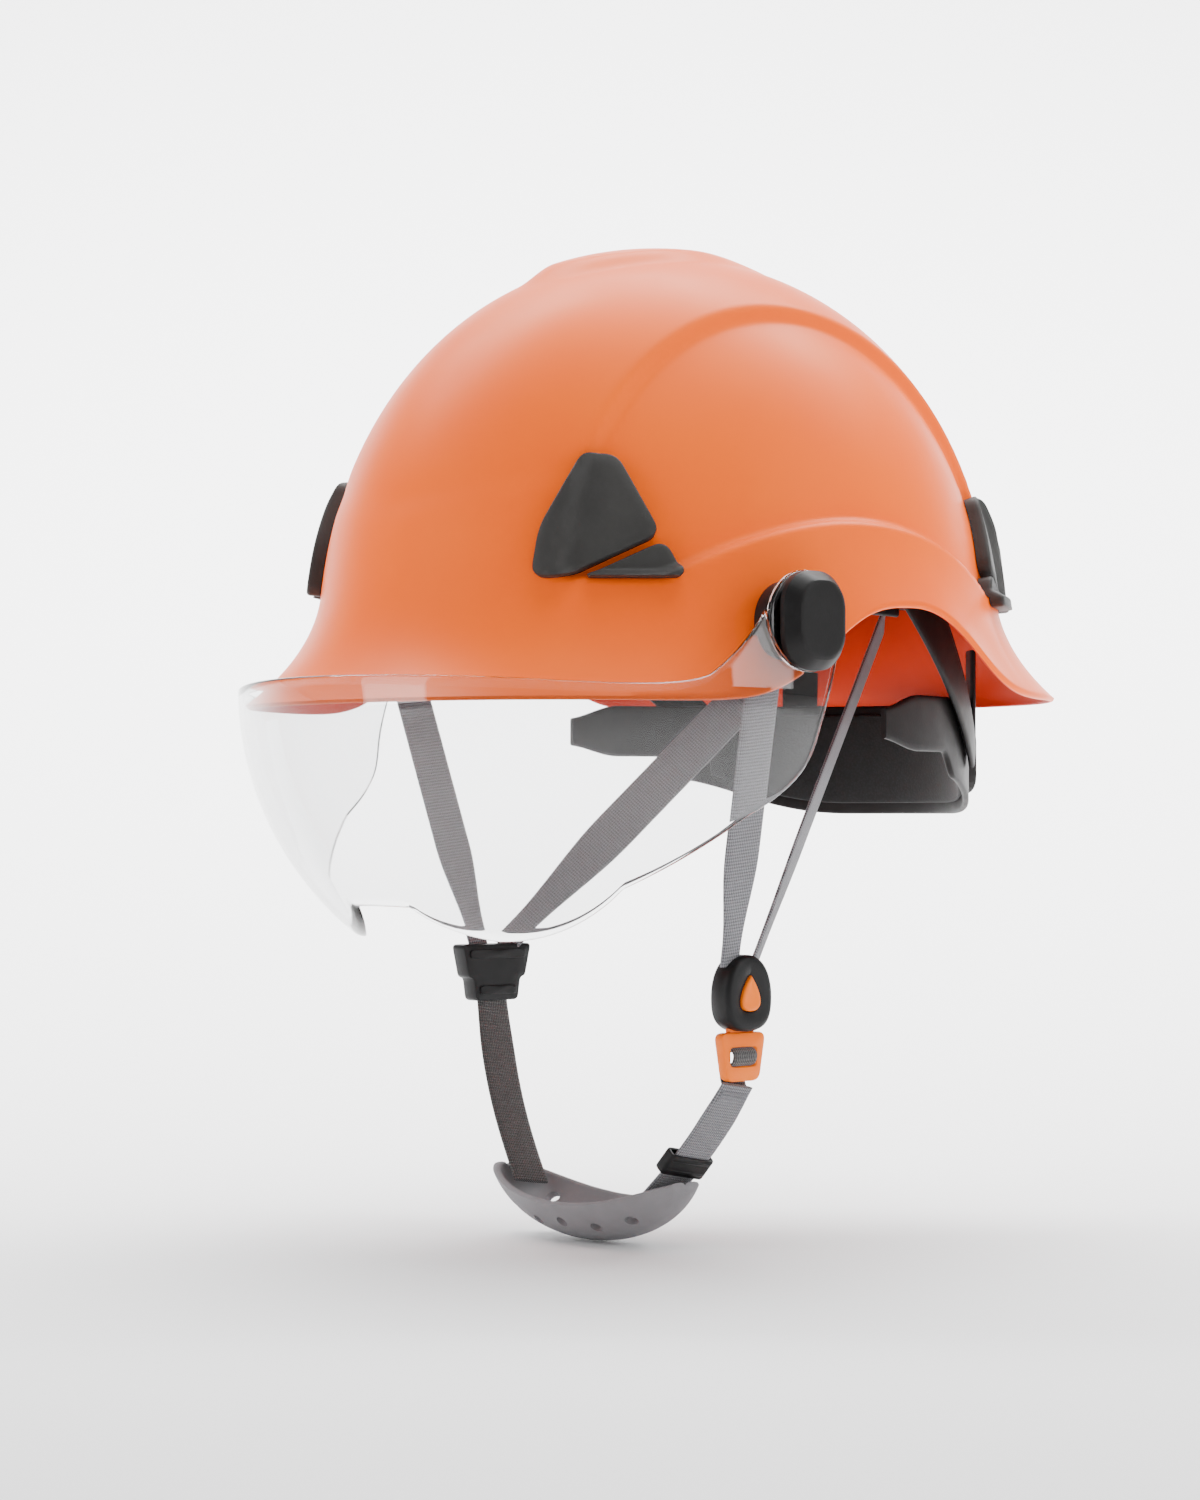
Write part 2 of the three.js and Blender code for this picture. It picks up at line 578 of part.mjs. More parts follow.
function crownAnchor(left, front) {
  const angle = anchorAngle(left, front);
  const block = new THREE.BoxGeometry(SHELL_HALF_LENGTH, ANCHOR.width, ANCHOR.height);
  block.translate(ANCHOR_RADIUS, 0, ANCHOR_TOP_Z - ANCHOR.height / 2).rotateZ(angle);
  const whole = solid(block.translate(0, SHELL_CENTRE_Y, 0)).intersect(inside).subtract(headColumn);
  return whole.subtract(cradleArm(left, SEAT_GAP));
}

// Everything inside the head ring's outer face, as a column.
const headColumn = solid(
  new THREE.CylinderGeometry(1, 1, 200, 64)
    .rotateX(Math.PI / 2)
    .scale(HEAD_HALF_WIDTH + BAND_WALL + GAP, BROW_HALF_LENGTH + BAND_WALL + GAP, 1)
    .translate(0, HEAD_CENTRE_Y, 0),
);

function crownStrap(left, lift) {
  const angle = anchorAngle(left, 1);
  const start = new THREE.Vector3(Math.cos(angle), Math.sin(angle), 0);
  const foot = new THREE.Vector3(0, SHELL_CENTRE_Y, ANCHOR_TOP_Z + GAP);
  const rise = new THREE.Vector3(0, 0, CROWN_STRAP_RISE + lift);
  const turned = (v) => start.clone().multiplyScalar(Math.cos(Math.PI * v));
  const facing = (v) => turned(v).setZ(Math.sin(Math.PI * v));
  const path = (v) =>
    foot
      .clone()
      .addScaledVector(turned(v), ANCHOR_RADIUS)
      .addScaledVector(rise, Math.sin(Math.PI * v));
  return band(path, facing, CROWN_WEBBING.width, CROWN_WEBBING.thick, 28);
}

// ---- chin harness ---------------------------------------------------------------------------------
const dividerTop = (forward, lift) =>
  new THREE.Vector3(DIVIDER_X, DIVIDER_Y + forward * STRAP_SPREAD, DIVIDER_TOP_Z + GAP + lift);

// Webbing is folded narrow where it runs into the divider.
const foldedWidth = (v) => THREE.MathUtils.lerp(WEBBING.folded, WEBBING.width, smooth(v, 0.05, 0.35));

function frontStrap(left) {
  const low = dividerTop(-1, 0.8);
  const high = new THREE.Vector3(FRONT_ANCHOR.x, FRONT_ANCHOR.y, FRONT_ANCHOR.bottomZ - GAP - 0.8);
  const path = (v) => low.clone().lerp(high, v);
  return mirrorX(band(path, () => new THREE.Vector3(1, 0, 0), foldedWidth, WEBBING.thick, 8), left);
}

function rearStrap(left) {
  const low = dividerTop(1, 3);
  const high = new THREE.Vector3(REAR_ANCHOR.x, REAR_ANCHOR.y - 4, REAR_ANCHOR.bottomZ - GAP - 5);
  const path = (v) => low.clone().lerp(high, v);
  return mirrorX(band(path, () => new THREE.Vector3(0.656, 0.755, 0), foldedWidth, WEBBING.thick, 12), left);
}

// A block hung from the shell's inner face; it grows from its inner end out to the shell.
function strapAnchor({ x, y, bottomZ, height }, width, length, left) {
  const block = boxAt(x, y, bottomZ + height / 2, width, length, height);
  return mirrorX(block.intersect(inside), left);
}

function frontAnchor(left) {
  const { x, width, depth } = FRONT_ANCHOR;
  return strapAnchor({ ...FRONT_ANCHOR, x: x - 4 + depth / 2 }, depth, width, left);
}

function rearAnchor(left) {
  const { y, width, depth } = REAR_ANCHOR;
  return strapAnchor({ ...REAR_ANCHOR, y: y - 5 + depth / 2 }, width, depth, left);
}

const buckleMiddleZ = DIVIDER_TOP_Z - BUCKLE.height / 2;
const slotHalf = TONGUE.bladeThick / 2 + 1.1;

function eggShape(halfWidth, halfHeight) {
  const shape = new THREE.Shape();
  shape.moveTo(0, -halfHeight);
  const waist = -halfHeight * 0.1;
  shape.bezierCurveTo(halfWidth * 0.9, -halfHeight, halfWidth, -halfHeight * 0.55, halfWidth, waist);
  shape.bezierCurveTo(halfWidth, halfHeight * 0.5, halfWidth * 0.62, halfHeight, 0, halfHeight);
  shape.bezierCurveTo(-halfWidth * 0.62, halfHeight, -halfWidth, halfHeight * 0.5, -halfWidth, waist);
  shape.bezierCurveTo(-halfWidth, -halfHeight * 0.55, -halfWidth * 0.9, -halfHeight, 0, -halfHeight);
  return shape;
}

// The release button is a teardrop, wide at its lower end.
function buttonShape(grow) {
  const halfWidth = BUTTON.width / 2 + grow;
  const halfHeight = BUTTON.height / 2 + grow;
  const shape = new THREE.Shape();
  shape.moveTo(0, -halfHeight);
  shape.bezierCurveTo(halfWidth * 1.35, -halfHeight, halfWidth * 1.1, 0, 0, halfHeight);
  shape.bezierCurveTo(-halfWidth * 1.1, 0, -halfWidth * 1.35, -halfHeight, 0, -halfHeight);
  return shape;
}

function placedAlongX(shape, x0, depth, segments) {
  return alongX(shape, x0, depth, segments).translate([0, DIVIDER_Y, buckleMiddleZ]);
}

function buckleBody() {
  const face = DIVIDER_X + BUCKLE.thick / 2;
  const outline = eggShape(BUCKLE.width / 2, BUCKLE.height / 2);
  const body = placedAlongX(outline, DIVIDER_X - BUCKLE.thick / 2, BUCKLE.thick, 8);
  const well = placedAlongX(buttonShape(SLIDE_GAP), face - BUTTON.sink, BUTTON.sink + 5, 6);
  const slotWidth = TONGUE.blade + 1.6;
  const slotTop = DIVIDER_TOP_Z - BUCKLE.height + TONGUE.bladeLength + 1;
  const slot = boxAt(DIVIDER_X - 1, DIVIDER_Y, slotTop - 15, 2 * slotHalf, slotWidth, 30);
  return body.subtract(well).subtract(slot);
}

function buckleButton() {
  const face = DIVIDER_X + BUCKLE.thick / 2;
  const depth = BUTTON.proud + BUTTON.sink - BUTTON.travel - GAP;
  return placedAlongX(buttonShape(0), face + BUTTON.proud - depth, depth, 6);
}

const TONGUE_TOP_Z = DIVIDER_TOP_Z - BUCKLE.height - GAP;

function buckleTongue() {
  const outline = roundedPolygon(
    [
      [-TONGUE.width / 2, 0],
      [-TONGUE.width * 0.36, -TONGUE.height],
      [TONGUE.width * 0.36, -TONGUE.height],
      [TONGUE.width / 2, 0],
    ],
    3,
  );
  const place = (block) => block.translate([0, DIVIDER_Y, TONGUE_TOP_Z]);
  const plate = place(alongX(outline, DIVIDER_X - 1 - TONGUE.thick / 2, TONGUE.thick, 5));
  const windowZ = TONGUE_TOP_Z - TONGUE.height / 2;
  const window = boxAt(DIVIDER_X - 1, DIVIDER_Y, windowZ, 2 * TONGUE.thick, TONGUE.blade, TONGUE.window);
  const blade = boxAt(
    DIVIDER_X - 1,
    DIVIDER_Y,
    TONGUE_TOP_Z + TONGUE.bladeLength / 2 - 1,
    TONGUE.bladeThick,
    TONGUE.blade,
    TONGUE.bladeLength,
  );
  return plate.subtract(window).add(blade);
}

// The right-hand divider: a stepped trapezoid plate that gathers the straps.
function divider() {
  const { halfTop, halfStep, halfNeck, halfFoot, height, thick } = DIVIDER;
  const right = [
    [halfFoot, -height],
    [halfNeck, DIVIDER_STEP_Z],
    [halfStep, DIVIDER_STEP_Z],
    [halfTop, 0],
  ];
  const left = right.map(([y, z]) => [-y, z]).reverse();
  const plate = new THREE.Shape([...left, ...right].map(([y, z]) => new THREE.Vector2(y, z)));
  const made = alongX(plate, -DIVIDER_X - thick / 2, thick, 2);
  return made.translate([0, DIVIDER_Y, DIVIDER_TOP_Z]);
}

const CUP_STRAP_END = new THREE.Vector3(CUP_STRAP_X, CHIN_Y, CUP.tipZ - 5);

function chinStrapPath(left) {
  const top =
    left > 0
      ? new THREE.Vector3(DIVIDER_X - 1, DIVIDER_Y - 1, TONGUE_TOP_Z - TONGUE.height - GAP - 1.4)
      : new THREE.Vector3(DIVIDER_X, DIVIDER_Y, DIVIDER_TOP_Z - DIVIDER.height - GAP - 1);
  return (v) => top.clone().lerp(CUP_STRAP_END, v);
}

function chinStrap(left) {
  const width = (v) => THREE.MathUtils.lerp(WEBBING.width * 0.8, WEBBING.width, smooth(v, 0, 0.3));
  return mirrorX(band(chinStrapPath(left), () => new THREE.Vector3(1, 0, 0), width, WEBBING.thick, 6), left);
}

// The keeper is a flat loop round the left chin strap, just above the cup.
function strapKeeper() {
  const path = chinStrapPath(1);
  const middle = path(KEEPER.place);
  const ahead = path(1).sub(path(0)).normalize();
  const reach = (length) => (v) => middle.clone().addScaledVector(ahead, (v - 0.5) * length);
  const facing = () => new THREE.Vector3(1, 0, 0);
  const body = band(reach(KEEPER.height), facing, KEEPER.width, KEEPER.thick, 2);
  const clear = 2 * SLIDE_GAP;
  const hole = band(reach(KEEPER.height * 3), facing, WEBBING.width + clear, WEBBING.thick + clear, 2);
  return body.subtract(hole);
}

// The ellipsoid that the cup is cut from: its half-axes and the height of its centre.
const BOWL = { x: CUP.halfLength + 4, y: CUP.halfWidth, z: CUP.depth + 8, centreZ: CUP.tipZ + 8 };

function bowl(shrink, segments) {
  const sphere = new THREE.SphereGeometry(1, segments, segments / 2);
  sphere.scale(BOWL.x - shrink, BOWL.y - shrink, BOWL.z - shrink);
  return solid(sphere.translate(0, CHIN_Y, BOWL.centreZ));
}

// A hole square to the cup's wall; the row draws in towards the middle at its ends.
function cupDrill(x, side) {
  const aside = CUP_HOLES.aside - Math.abs(x) * 0.16;
  const level = 1 - (x / BOWL.x) ** 2 - (aside / BOWL.y) ** 2;
  const drill = new THREE.CylinderGeometry(CUP_HOLES.radius, CUP_HOLES.radius, CUP_HOLES.depth, 10);
  drill.rotateX(-side * CUP_HOLES.tilt);
  return solid(drill.translate(x, CHIN_Y + side * aside, BOWL.centreZ - BOWL.z * Math.sqrt(level)));
}

// The rim of the cup dips along a wide arc between its two tips.
function chinCup() {
  const radius = (CUP.halfLength ** 2 + CUP.sag ** 2) / (2 * CUP.sag);
  const saddle = new THREE.CylinderGeometry(radius, radius, 5 * CUP.halfWidth, 120);
  saddle.translate(0, CHIN_Y, CUP.tipZ - CUP.sag + radius);
  let cup = bowl(0, 32).subtract(bowl(CUP.wall, 32)).subtract(solid(saddle));
  for (const x of CUP_HOLES.xs) {
    cup = cup.subtract(cupDrill(x, -1)).subtract(cupDrill(x, 1));
  }
  return cup;
}

// ---- assembly -------------------------------------------------------------------------------------
const helmet = new THREE.Group();

function add(name, manifold, colour, roughness, opacity = 1) {
  const options = { color: COLOURS[colour], roughness, metalness: 0, opacity, transparent: opacity < 1 };
  const mesh = new THREE.Mesh(geometryOf(manifold), new THREE.MeshStandardMaterial(options));
  mesh.name = name;
  helmet.add(mesh);
}

function addShellAndClips() {
  add("shell", shell(), "orange", 0.35);
  for (const [side, left] of Object.entries(SIDES)) {
    for (const [end, front] of Object.entries({ front: -1, rear: 1 })) {
      add(`${end}_clip_hook_${side}`, clipPiece(left, front, 1), "black", 0.55);
      add(`${end}_clip_wedge_${side}`, clipPiece(left, front, -1), "black", 0.55);
      add(`crown_anchor_${end}_${side}`, crownAnchor(left, front), "black", 0.6);
    }
  }
  add("crown_strap_lower", crownStrap(1, 0), "webbing", 0.9);
  add("crown_strap_upper", crownStrap(-1, CROWN_STRAP_LIFT), "webbing", 0.9);
}

function addVisor() {
  add("visor_lens", visorLens(), "clear", 0.05, 0.3);
  for (const [side, left] of Object.entries(SIDES)) {
    add(`pivot_base_${side}`, pivotBase(left), "black", 0.5);
    add(`pivot_axle_${side}`, pivotAxle(left), "black", 0.5);
    add(`pivot_cap_${side}`, pivotCap(left), "black", 0.5);
  }
}

function addHeadRing() {
  add("headband", headband(0, BAND_WALL, 0, -Math.PI - bandEnd, bandEnd, 44), "black", 0.6);
  const pad = headband(SWEATBAND_WALL + GAP, SWEATBAND_WALL, 1, -Math.PI + 0.5, -0.5, 24);
  add("sweatband", pad, "foam", 0.95);
  add("nape_cradle", napeCradle(), "black", 0.6);
  add("ratchet_box", ratchetBox(), "black", 0.55);
  add("size_knob", sizeKnob(), "black", 0.5);
  for (const [side, left] of Object.entries(SIDES)) {
    add(`cradle_arm_${side}`, cradleArm(left), "black", 0.6);
    add(`rear_hanger_${side}`, rearHanger(left), "black", 0.6);
  }
}

function addHarness() {
  for (const [side, left] of Object.entries(SIDES)) {
    add(`front_strap_${side}`, frontStrap(left), "webbing", 0.9);
    add(`rear_strap_${side}`, rearStrap(left), "webbing", 0.9);
    add(`front_strap_anchor_${side}`, frontAnchor(left), "black", 0.6);
    add(`rear_strap_anchor_${side}`, rearAnchor(left), "black", 0.6);
    add(`chin_strap_${side}`, chinStrap(left), "webbing", 0.9);
  }
  add("buckle_body", buckleBody(), "black", 0.45);
  add("buckle_button", buckleButton(), "orange", 0.4);
  add("buckle_tongue", buckleTongue(), "orange", 0.4);
  add("strap_divider_right", divider(), "black", 0.5);
  add("strap_keeper", strapKeeper(), "black", 0.5);
  add("chin_cup", chinCup(), "rubber", 0.8);
}

addShellAndClips();
addVisor();
addHeadRing();
addHarness();

export default helmet;
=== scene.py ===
import math

import bmesh
import bpy
import numpy as np
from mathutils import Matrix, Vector


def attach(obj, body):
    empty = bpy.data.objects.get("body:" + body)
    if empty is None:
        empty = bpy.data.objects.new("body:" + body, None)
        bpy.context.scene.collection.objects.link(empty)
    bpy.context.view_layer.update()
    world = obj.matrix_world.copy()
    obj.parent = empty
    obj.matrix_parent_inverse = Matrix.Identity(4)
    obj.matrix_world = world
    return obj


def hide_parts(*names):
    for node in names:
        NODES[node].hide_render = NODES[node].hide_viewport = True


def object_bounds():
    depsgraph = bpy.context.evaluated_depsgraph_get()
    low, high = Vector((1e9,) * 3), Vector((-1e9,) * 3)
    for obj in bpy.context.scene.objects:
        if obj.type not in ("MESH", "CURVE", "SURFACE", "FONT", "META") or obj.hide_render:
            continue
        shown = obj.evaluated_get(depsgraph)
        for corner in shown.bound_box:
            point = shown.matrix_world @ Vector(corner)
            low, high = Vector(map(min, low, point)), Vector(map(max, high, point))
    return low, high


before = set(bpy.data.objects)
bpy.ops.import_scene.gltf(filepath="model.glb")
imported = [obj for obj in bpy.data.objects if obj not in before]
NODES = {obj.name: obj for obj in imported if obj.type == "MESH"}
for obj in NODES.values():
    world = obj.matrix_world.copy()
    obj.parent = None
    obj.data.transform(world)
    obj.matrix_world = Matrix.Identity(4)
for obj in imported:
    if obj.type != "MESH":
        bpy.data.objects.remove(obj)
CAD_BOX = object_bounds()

MM = 0.001


# ---- numbers shared with the CAD, in millimetres ---------------------------
HALF_WIDTH = 107
HALF_LENGTH = 124.5
CENTRE_Y = 3.5
EQUATOR = 20
CROWN = 157
WALL = 2.6
RIM_HALF_WIDTH = 113
RIM_FRONT = 145
RIM_REAR = 138.5
PIVOT = (-39, 26)
DIVIDER_Y = -20
HEAD_HALF_WIDTH = 80
BROW = {"half_length": 96, "centre_y": 4, "wall": 2, "half_height": 14, "end_y": 42}
CRADLE = {"half_length": 108, "centre_y": 16, "wall": 2.2, "end_y": 30}
TAPE = {"width": 15, "folded": 8, "thick": 1.5}
CROWN_TAPE = {"width": 19, "thick": 1.4}
BORE_RADIUS = 3.3
PIN_RADIUS = 3


def lerp(a, b, t):
    return a + (b - a) * t


def smooth(value, start, end):
    t = min(max((value - start) / (end - start), 0), 1)
    return t * t * (3 - 2 * t)


# ---- meshes ----------------------------------------------------------------
def mesh_piece(name, points, faces, material, angle=35, attribute=None):
    """A mesh object from points in millimetres, shaded smooth up to an angle."""
    mesh = bpy.data.meshes.new(name)
    mesh.from_pydata([tuple(c * MM for c in p) for p in points], [], faces)
    if attribute is not None:
        layer = mesh.attributes.new("strap_uv", "FLOAT_VECTOR", "POINT")
        layer.data.foreach_set("vector", [c for item in attribute for c in item])
    bm = bmesh.new()
    bm.from_mesh(mesh)
    bmesh.ops.remove_doubles(bm, verts=bm.verts, dist=1e-7)
    bmesh.ops.recalc_face_normals(bm, faces=bm.faces)
    bm.to_mesh(mesh)
    bm.free()
    mesh.materials.append(material)
    mesh.shade_smooth()
    mesh.set_sharp_from_angle(angle=math.radians(angle))
    obj = bpy.data.objects.new(name, mesh)
    bpy.context.scene.collection.objects.link(obj)
    return obj


def skin_rings(name, rings, material, caps=True, angle=35, attribute=None):
    """A surface through closed rings of points that all have the same count, with flat ends."""
    count = len(rings[0])
    points = [p for ring in rings for p in ring]
    faces = []
    for k in range(len(rings) - 1):
        for i in range(count):
            j = (i + 1) % count
            faces.append((k * count + i, k * count + j, (k + 1) * count + j, (k + 1) * count + i))
    if caps:
        faces.append(tuple(range(count)))
        faces.append(tuple((len(rings) - 1) * count + i for i in range(count))[::-1])
    return mesh_piece(name, points, faces, material, angle, attribute)


def declare(obj, body, slot, *replaced):
    """The piece rides on a body and stands for CAD nodes. The slot argument is not used."""
    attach(obj, body)
    if replaced:
        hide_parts(*replaced)
    return obj


# ---- materials -------------------------------------------------------------
class Finish:
    """A Principled material whose nodes read object coordinates in metres."""

    def __init__(self, name, colour, roughness, **inputs):
        self.material = bpy.data.materials.new(name)
        self.material.use_nodes = True
        self.tree = self.material.node_tree
        self.tree.nodes.clear()
        output = self.node("OutputMaterial")
        self.shader = self.node("BsdfPrincipled")
        self.join(self.shader, "BSDF", output, "Surface")
        self.shader.inputs["Base Color"].default_value = (*colour, 1)
        self.shader.inputs["Roughness"].default_value = roughness
        for key, value in inputs.items():
            self.shader.inputs[key.replace("_", " ")].default_value = value
        self.coordinates = self.node("TexCoord")

    def node(self, kind, **settings):
        made = self.tree.nodes.new("ShaderNode" + kind)
        for key, value in settings.items():
            setattr(made, key, value)
        return made

    def join(self, source, output, target, socket):
        self.tree.links.new(source.outputs[output], target.inputs[socket])

    def noise(self, scale, detail):
        made = self.node("TexNoise")
        made.inputs["Scale"].default_value = scale
        made.inputs["Detail"].default_value = detail
        self.join(self.coordinates, "Object", made, "Vector")
        return made

    def range(self, source, output, low, high, start=0.3, end=0.7):
        made = self.node("MapRange")
        made.inputs["From Min"].default_value = start
        made.inputs["From Max"].default_value = end
        made.inputs["To Min"].default_value = low
        made.inputs["To Max"].default_value = high
        self.join(source, output, made, "Value")
        return made

    def tint(self, source, output, colour_a, colour_b):
        made = self.node("Mix", data_type="RGBA")
        made.inputs["A"].default_value = (*colour_a, 1)
        made.inputs["B"].default_value = (*colour_b, 1)
        self.tree.links.new(source.outputs[output], made.inputs["Factor"])
        for socket in made.outputs:
            if socket.type == "RGBA":
                self.tree.links.new(socket, self.shader.inputs["Base Color"])

    def bump(self, source, output, distance, strength, after=None):
        made = self.node("Bump")
        made.inputs["Distance"].default_value = distance
        made.inputs["Strength"].default_value = strength
        self.join(source, output, made, "Height")
        if after is not None:
            self.join(after, "Normal", made, "Normal")
        self.join(made, "Normal", self.shader, "Normal")
        return made


def scuffed(finish, base, spread, scale=90):
    """Faint handling wear: the roughness drifts a little over the surface."""
    patches = finish.noise(scale, 4)
    drift = finish.range(patches, "Fac", base - spread, base + spread)
    finish.join(drift, "Result", finish.shader, "Roughness")


def moulded(name, colour, roughness, grain=1400, depth=0.00005):
    """Moulded plastic: a fine spark-eroded grain under slightly uneven gloss."""
    finish = Finish(name, colour, roughness, Specular_IOR_Level=0.2)
    scuffed(finish, roughness, 0.05)
    large = finish.noise(60, 3)
    lighter = tuple(min(c * 1.25 + 0.001, 1) for c in colour)
    ramp = finish.range(large, "Fac", 0, 1, 0.35, 0.75)
    finish.tint(ramp, "Result", colour, lighter)
    coarse = finish.bump(finish.noise(grain, 2), "Fac", depth, 0.6)
    finish.bump(finish.noise(220, 2), "Fac", 0.00008, 0.25, after=coarse)
    return finish.material


def webbing(name, dark, light):
    """Woven polyester tape: rows of slanted yarns that cross the strap, read from strap_uv."""
    finish = Finish(name, light, 0.86, Sheen_Weight=0.25, Sheen_Roughness=0.5)
    place = finish.node("Attribute", attribute_name="strap_uv")
    apart = finish.node("SeparateXYZ")
    finish.join(place, "Vector", apart, "Vector")

    def wave(across, along):
        sums = []
        for socket, pitch in (("X", across), ("Y", along)):
            made = finish.node("Math", operation="MULTIPLY")
            made.inputs[1].default_value = 2 * math.pi / pitch
            finish.join(apart, socket, made, 0)
            sums.append(made)
        total = finish.node("Math", operation="ADD")
        finish.join(sums[0], "Value", total, 0)
        finish.join(sums[1], "Value", total, 1)
        sine = finish.node("Math", operation="SINE")
        finish.join(total, "Value", sine, 0)
        return sine

    both = finish.node("Math", operation="MULTIPLY")
    finish.join(wave(0.0016, 0.0022), "Value", both, 0)
    finish.join(wave(-0.0016, 0.0022), "Value", both, 1)
    fuzz = finish.noise(2600, 2)
    height = finish.node("Math", operation="MULTIPLY_ADD")
    height.inputs[2].default_value = 0
    height.inputs[1].default_value = 0.6
    finish.join(fuzz, "Fac", height, 0)
    summed = finish.node("Math", operation="ADD")
    finish.join(both, "Value", summed, 0)
    finish.join(height, "Value", summed, 1)
    shade = finish.range(both, "Value", 0, 1, -0.8, 0.9)
    finish.tint(shade, "Result", dark, light)
    finish.bump(summed, "Value", 0.00022, 0.9)
    return finish.material


def make_shell_finish(name, colour, deep, roughness):
    finish = Finish(name, colour, roughness, Specular_IOR_Level=0.16, Specular_Tint=(1, 0.55, 0.18, 1))
    scuffed(finish, roughness, 0.045, 26)
    ramp = finish.range(finish.noise(14, 4), "Fac", 0, 1, 0.35, 0.7)
    finish.tint(ramp, "Result", colour, deep)
    fine = finish.bump(finish.noise(1900, 2), "Fac", 0.00003, 0.5)
    finish.bump(finish.noise(260, 2), "Fac", 0.00006, 0.3, after=fine)
    return finish.material


def make_lens_finish(name, roughness, colour):
    finish = Finish(name, colour, roughness, Transmission_Weight=1.0, IOR=1.47)
    finish.bump(finish.noise(40, 2), "Fac", 0.00006, 0.15)
    return finish.material


def make_knit():
    finish = Finish("foam_knit", (0.01, 0.01, 0.011), 0.92, Sheen_Weight=0.12, Sheen_Roughness=0.5)
    cells = finish.node("TexVoronoi")
    cells.inputs["Scale"].default_value = 1100
    finish.join(finish.coordinates, "Object", cells, "Vector")
    shade = finish.range(cells, "Distance", 0, 1, 0.1, 0.7)
    finish.tint(shade, "Result", (0.008, 0.008, 0.009), (0.004, 0.004, 0.004))
    finish.bump(cells, "Distance", 0.0002, 0.25)
    return finish.material


SHELL_ORANGE = make_shell_finish("shell_orange", (1.0, 0.135, 0.0), (0.97, 0.118, 0.0), 0.42)
# The inside gets a darker, deeper red copy of the orange: painted cavity shade and bounce light, not a
# different plastic.
SHELL_INSIDE_PAINTED_SHADE = make_shell_finish("shell_inside_painted_shade", (0.62, 0.022, 0.0), (0.5, 0.016, 0.0), 0.55)
CLIP_BLACK = moulded("clip_black", (0.03, 0.029, 0.028), 0.55, grain=1000, depth=0.00009)
PIVOT_BLACK = moulded("pivot_black", (0.0045, 0.004, 0.0042), 0.48)
CRADLE_BLACK = moulded("cradle_black", (0.006, 0.0045, 0.0045), 0.5)
BUCKLE_BLACK = moulded("buckle_black", (0.007, 0.007, 0.0075), 0.42)
BUCKLE_ORANGE = moulded("buckle_orange", (0.98, 0.17, 0.0), 0.4)
RUBBER_GREY = moulded("rubber_grey", (0.20, 0.195, 0.205), 0.74, grain=800, depth=0.00012)
LENS = make_lens_finish("lens_clear", 0.02, (0.84, 0.845, 0.85))
WEBBING = webbing("webbing_grey", (0.095, 0.095, 0.105), (0.26, 0.26, 0.28))
# A darker copy of the grey webbing: painted shade for the straps that lie in shadow inside the shell and in
# the buckle.
WEBBING_PAINTED_SHADE = webbing("webbing_grey_painted_shade", (0.035, 0.033, 0.033), (0.085, 0.08, 0.078))
KNIT = make_knit()


# ---- shell surface ---------------------------------------------------------
def superellipse(angle, along_x, along_y, power):
    cx = abs(math.cos(angle)) / along_x
    cy = abs(math.sin(angle)) / along_y
    return (cx**power + cy**power) ** (-1 / power)


def ledge_z(y):
    return 60 - 20 * min((y / 72) ** 2, 1)


def rim_radius(angle):
    return superellipse(angle, RIM_HALF_WIDTH, RIM_FRONT if math.sin(angle) < 0 else RIM_REAR, 2.5)


def rim_z(angle):
    y = CENTRE_Y + rim_radius(angle) * math.sin(angle)
    return lerp(2, 6, smooth(y, -60, 110)) + 30 * math.exp(-((abs(y - 9) / 42) ** 2.6))


def skin_radius(angle, z):
    lift = max(z - EQUATOR, 0) / (CROWN - EQUATOR)
    taper = max(1 - lift**2.1, 0) ** (1 / 2.1)
    dome = superellipse(angle, HALF_WIDTH, HALF_LENGTH, 2)
    top = ledge_z(CENTRE_Y + dome * math.sin(angle))
    flare = max(top - z, 0) / (top - rim_z(angle))
    return dome * taper + (rim_radius(angle) - dome) * flare**2


def outward(x, y, z):
    lift = max(z - EQUATOR, 0) / (CROWN - EQUATOR) ** 2
    return Vector((x / HALF_WIDTH**2, (y - CENTRE_Y) / HALF_LENGTH**2, lift)).normalized()


def rise_at(x, y, z):
    """How far the moulding stands off the plain skin: panel step, crown pad and brow crease."""
    beside = smooth(abs(x), 61, 65.5)
    above = smooth(z, ledge_z(y) - 1, ledge_z(y) + 2.5)
    pad = math.hypot(x / 30, y / (54 if y < 0 else 92))
    soft = lerp(0.2, 0.55, smooth(y, -20, 30))
    crease = math.exp(-(((z - 66 - 0.15 * abs(x)) / 5) ** 2)) * smooth(-y, 70, 100)
    return 3 * (1 - smooth(pad, 0.94 - soft, 1.04)) - 4 * beside * above - 0.5 * crease


def on_skin(angle, z, offset):
    radius = skin_radius(angle, z)
    x, y = radius * math.cos(angle), CENTRE_Y + radius * math.sin(angle)
    return Vector((x, y, z)) + outward(x, y, z) * (rise_at(x, y, z) + offset)


SHELL_HEART = (0, 0, 0.03)  # metres; faces that look towards it are the inside


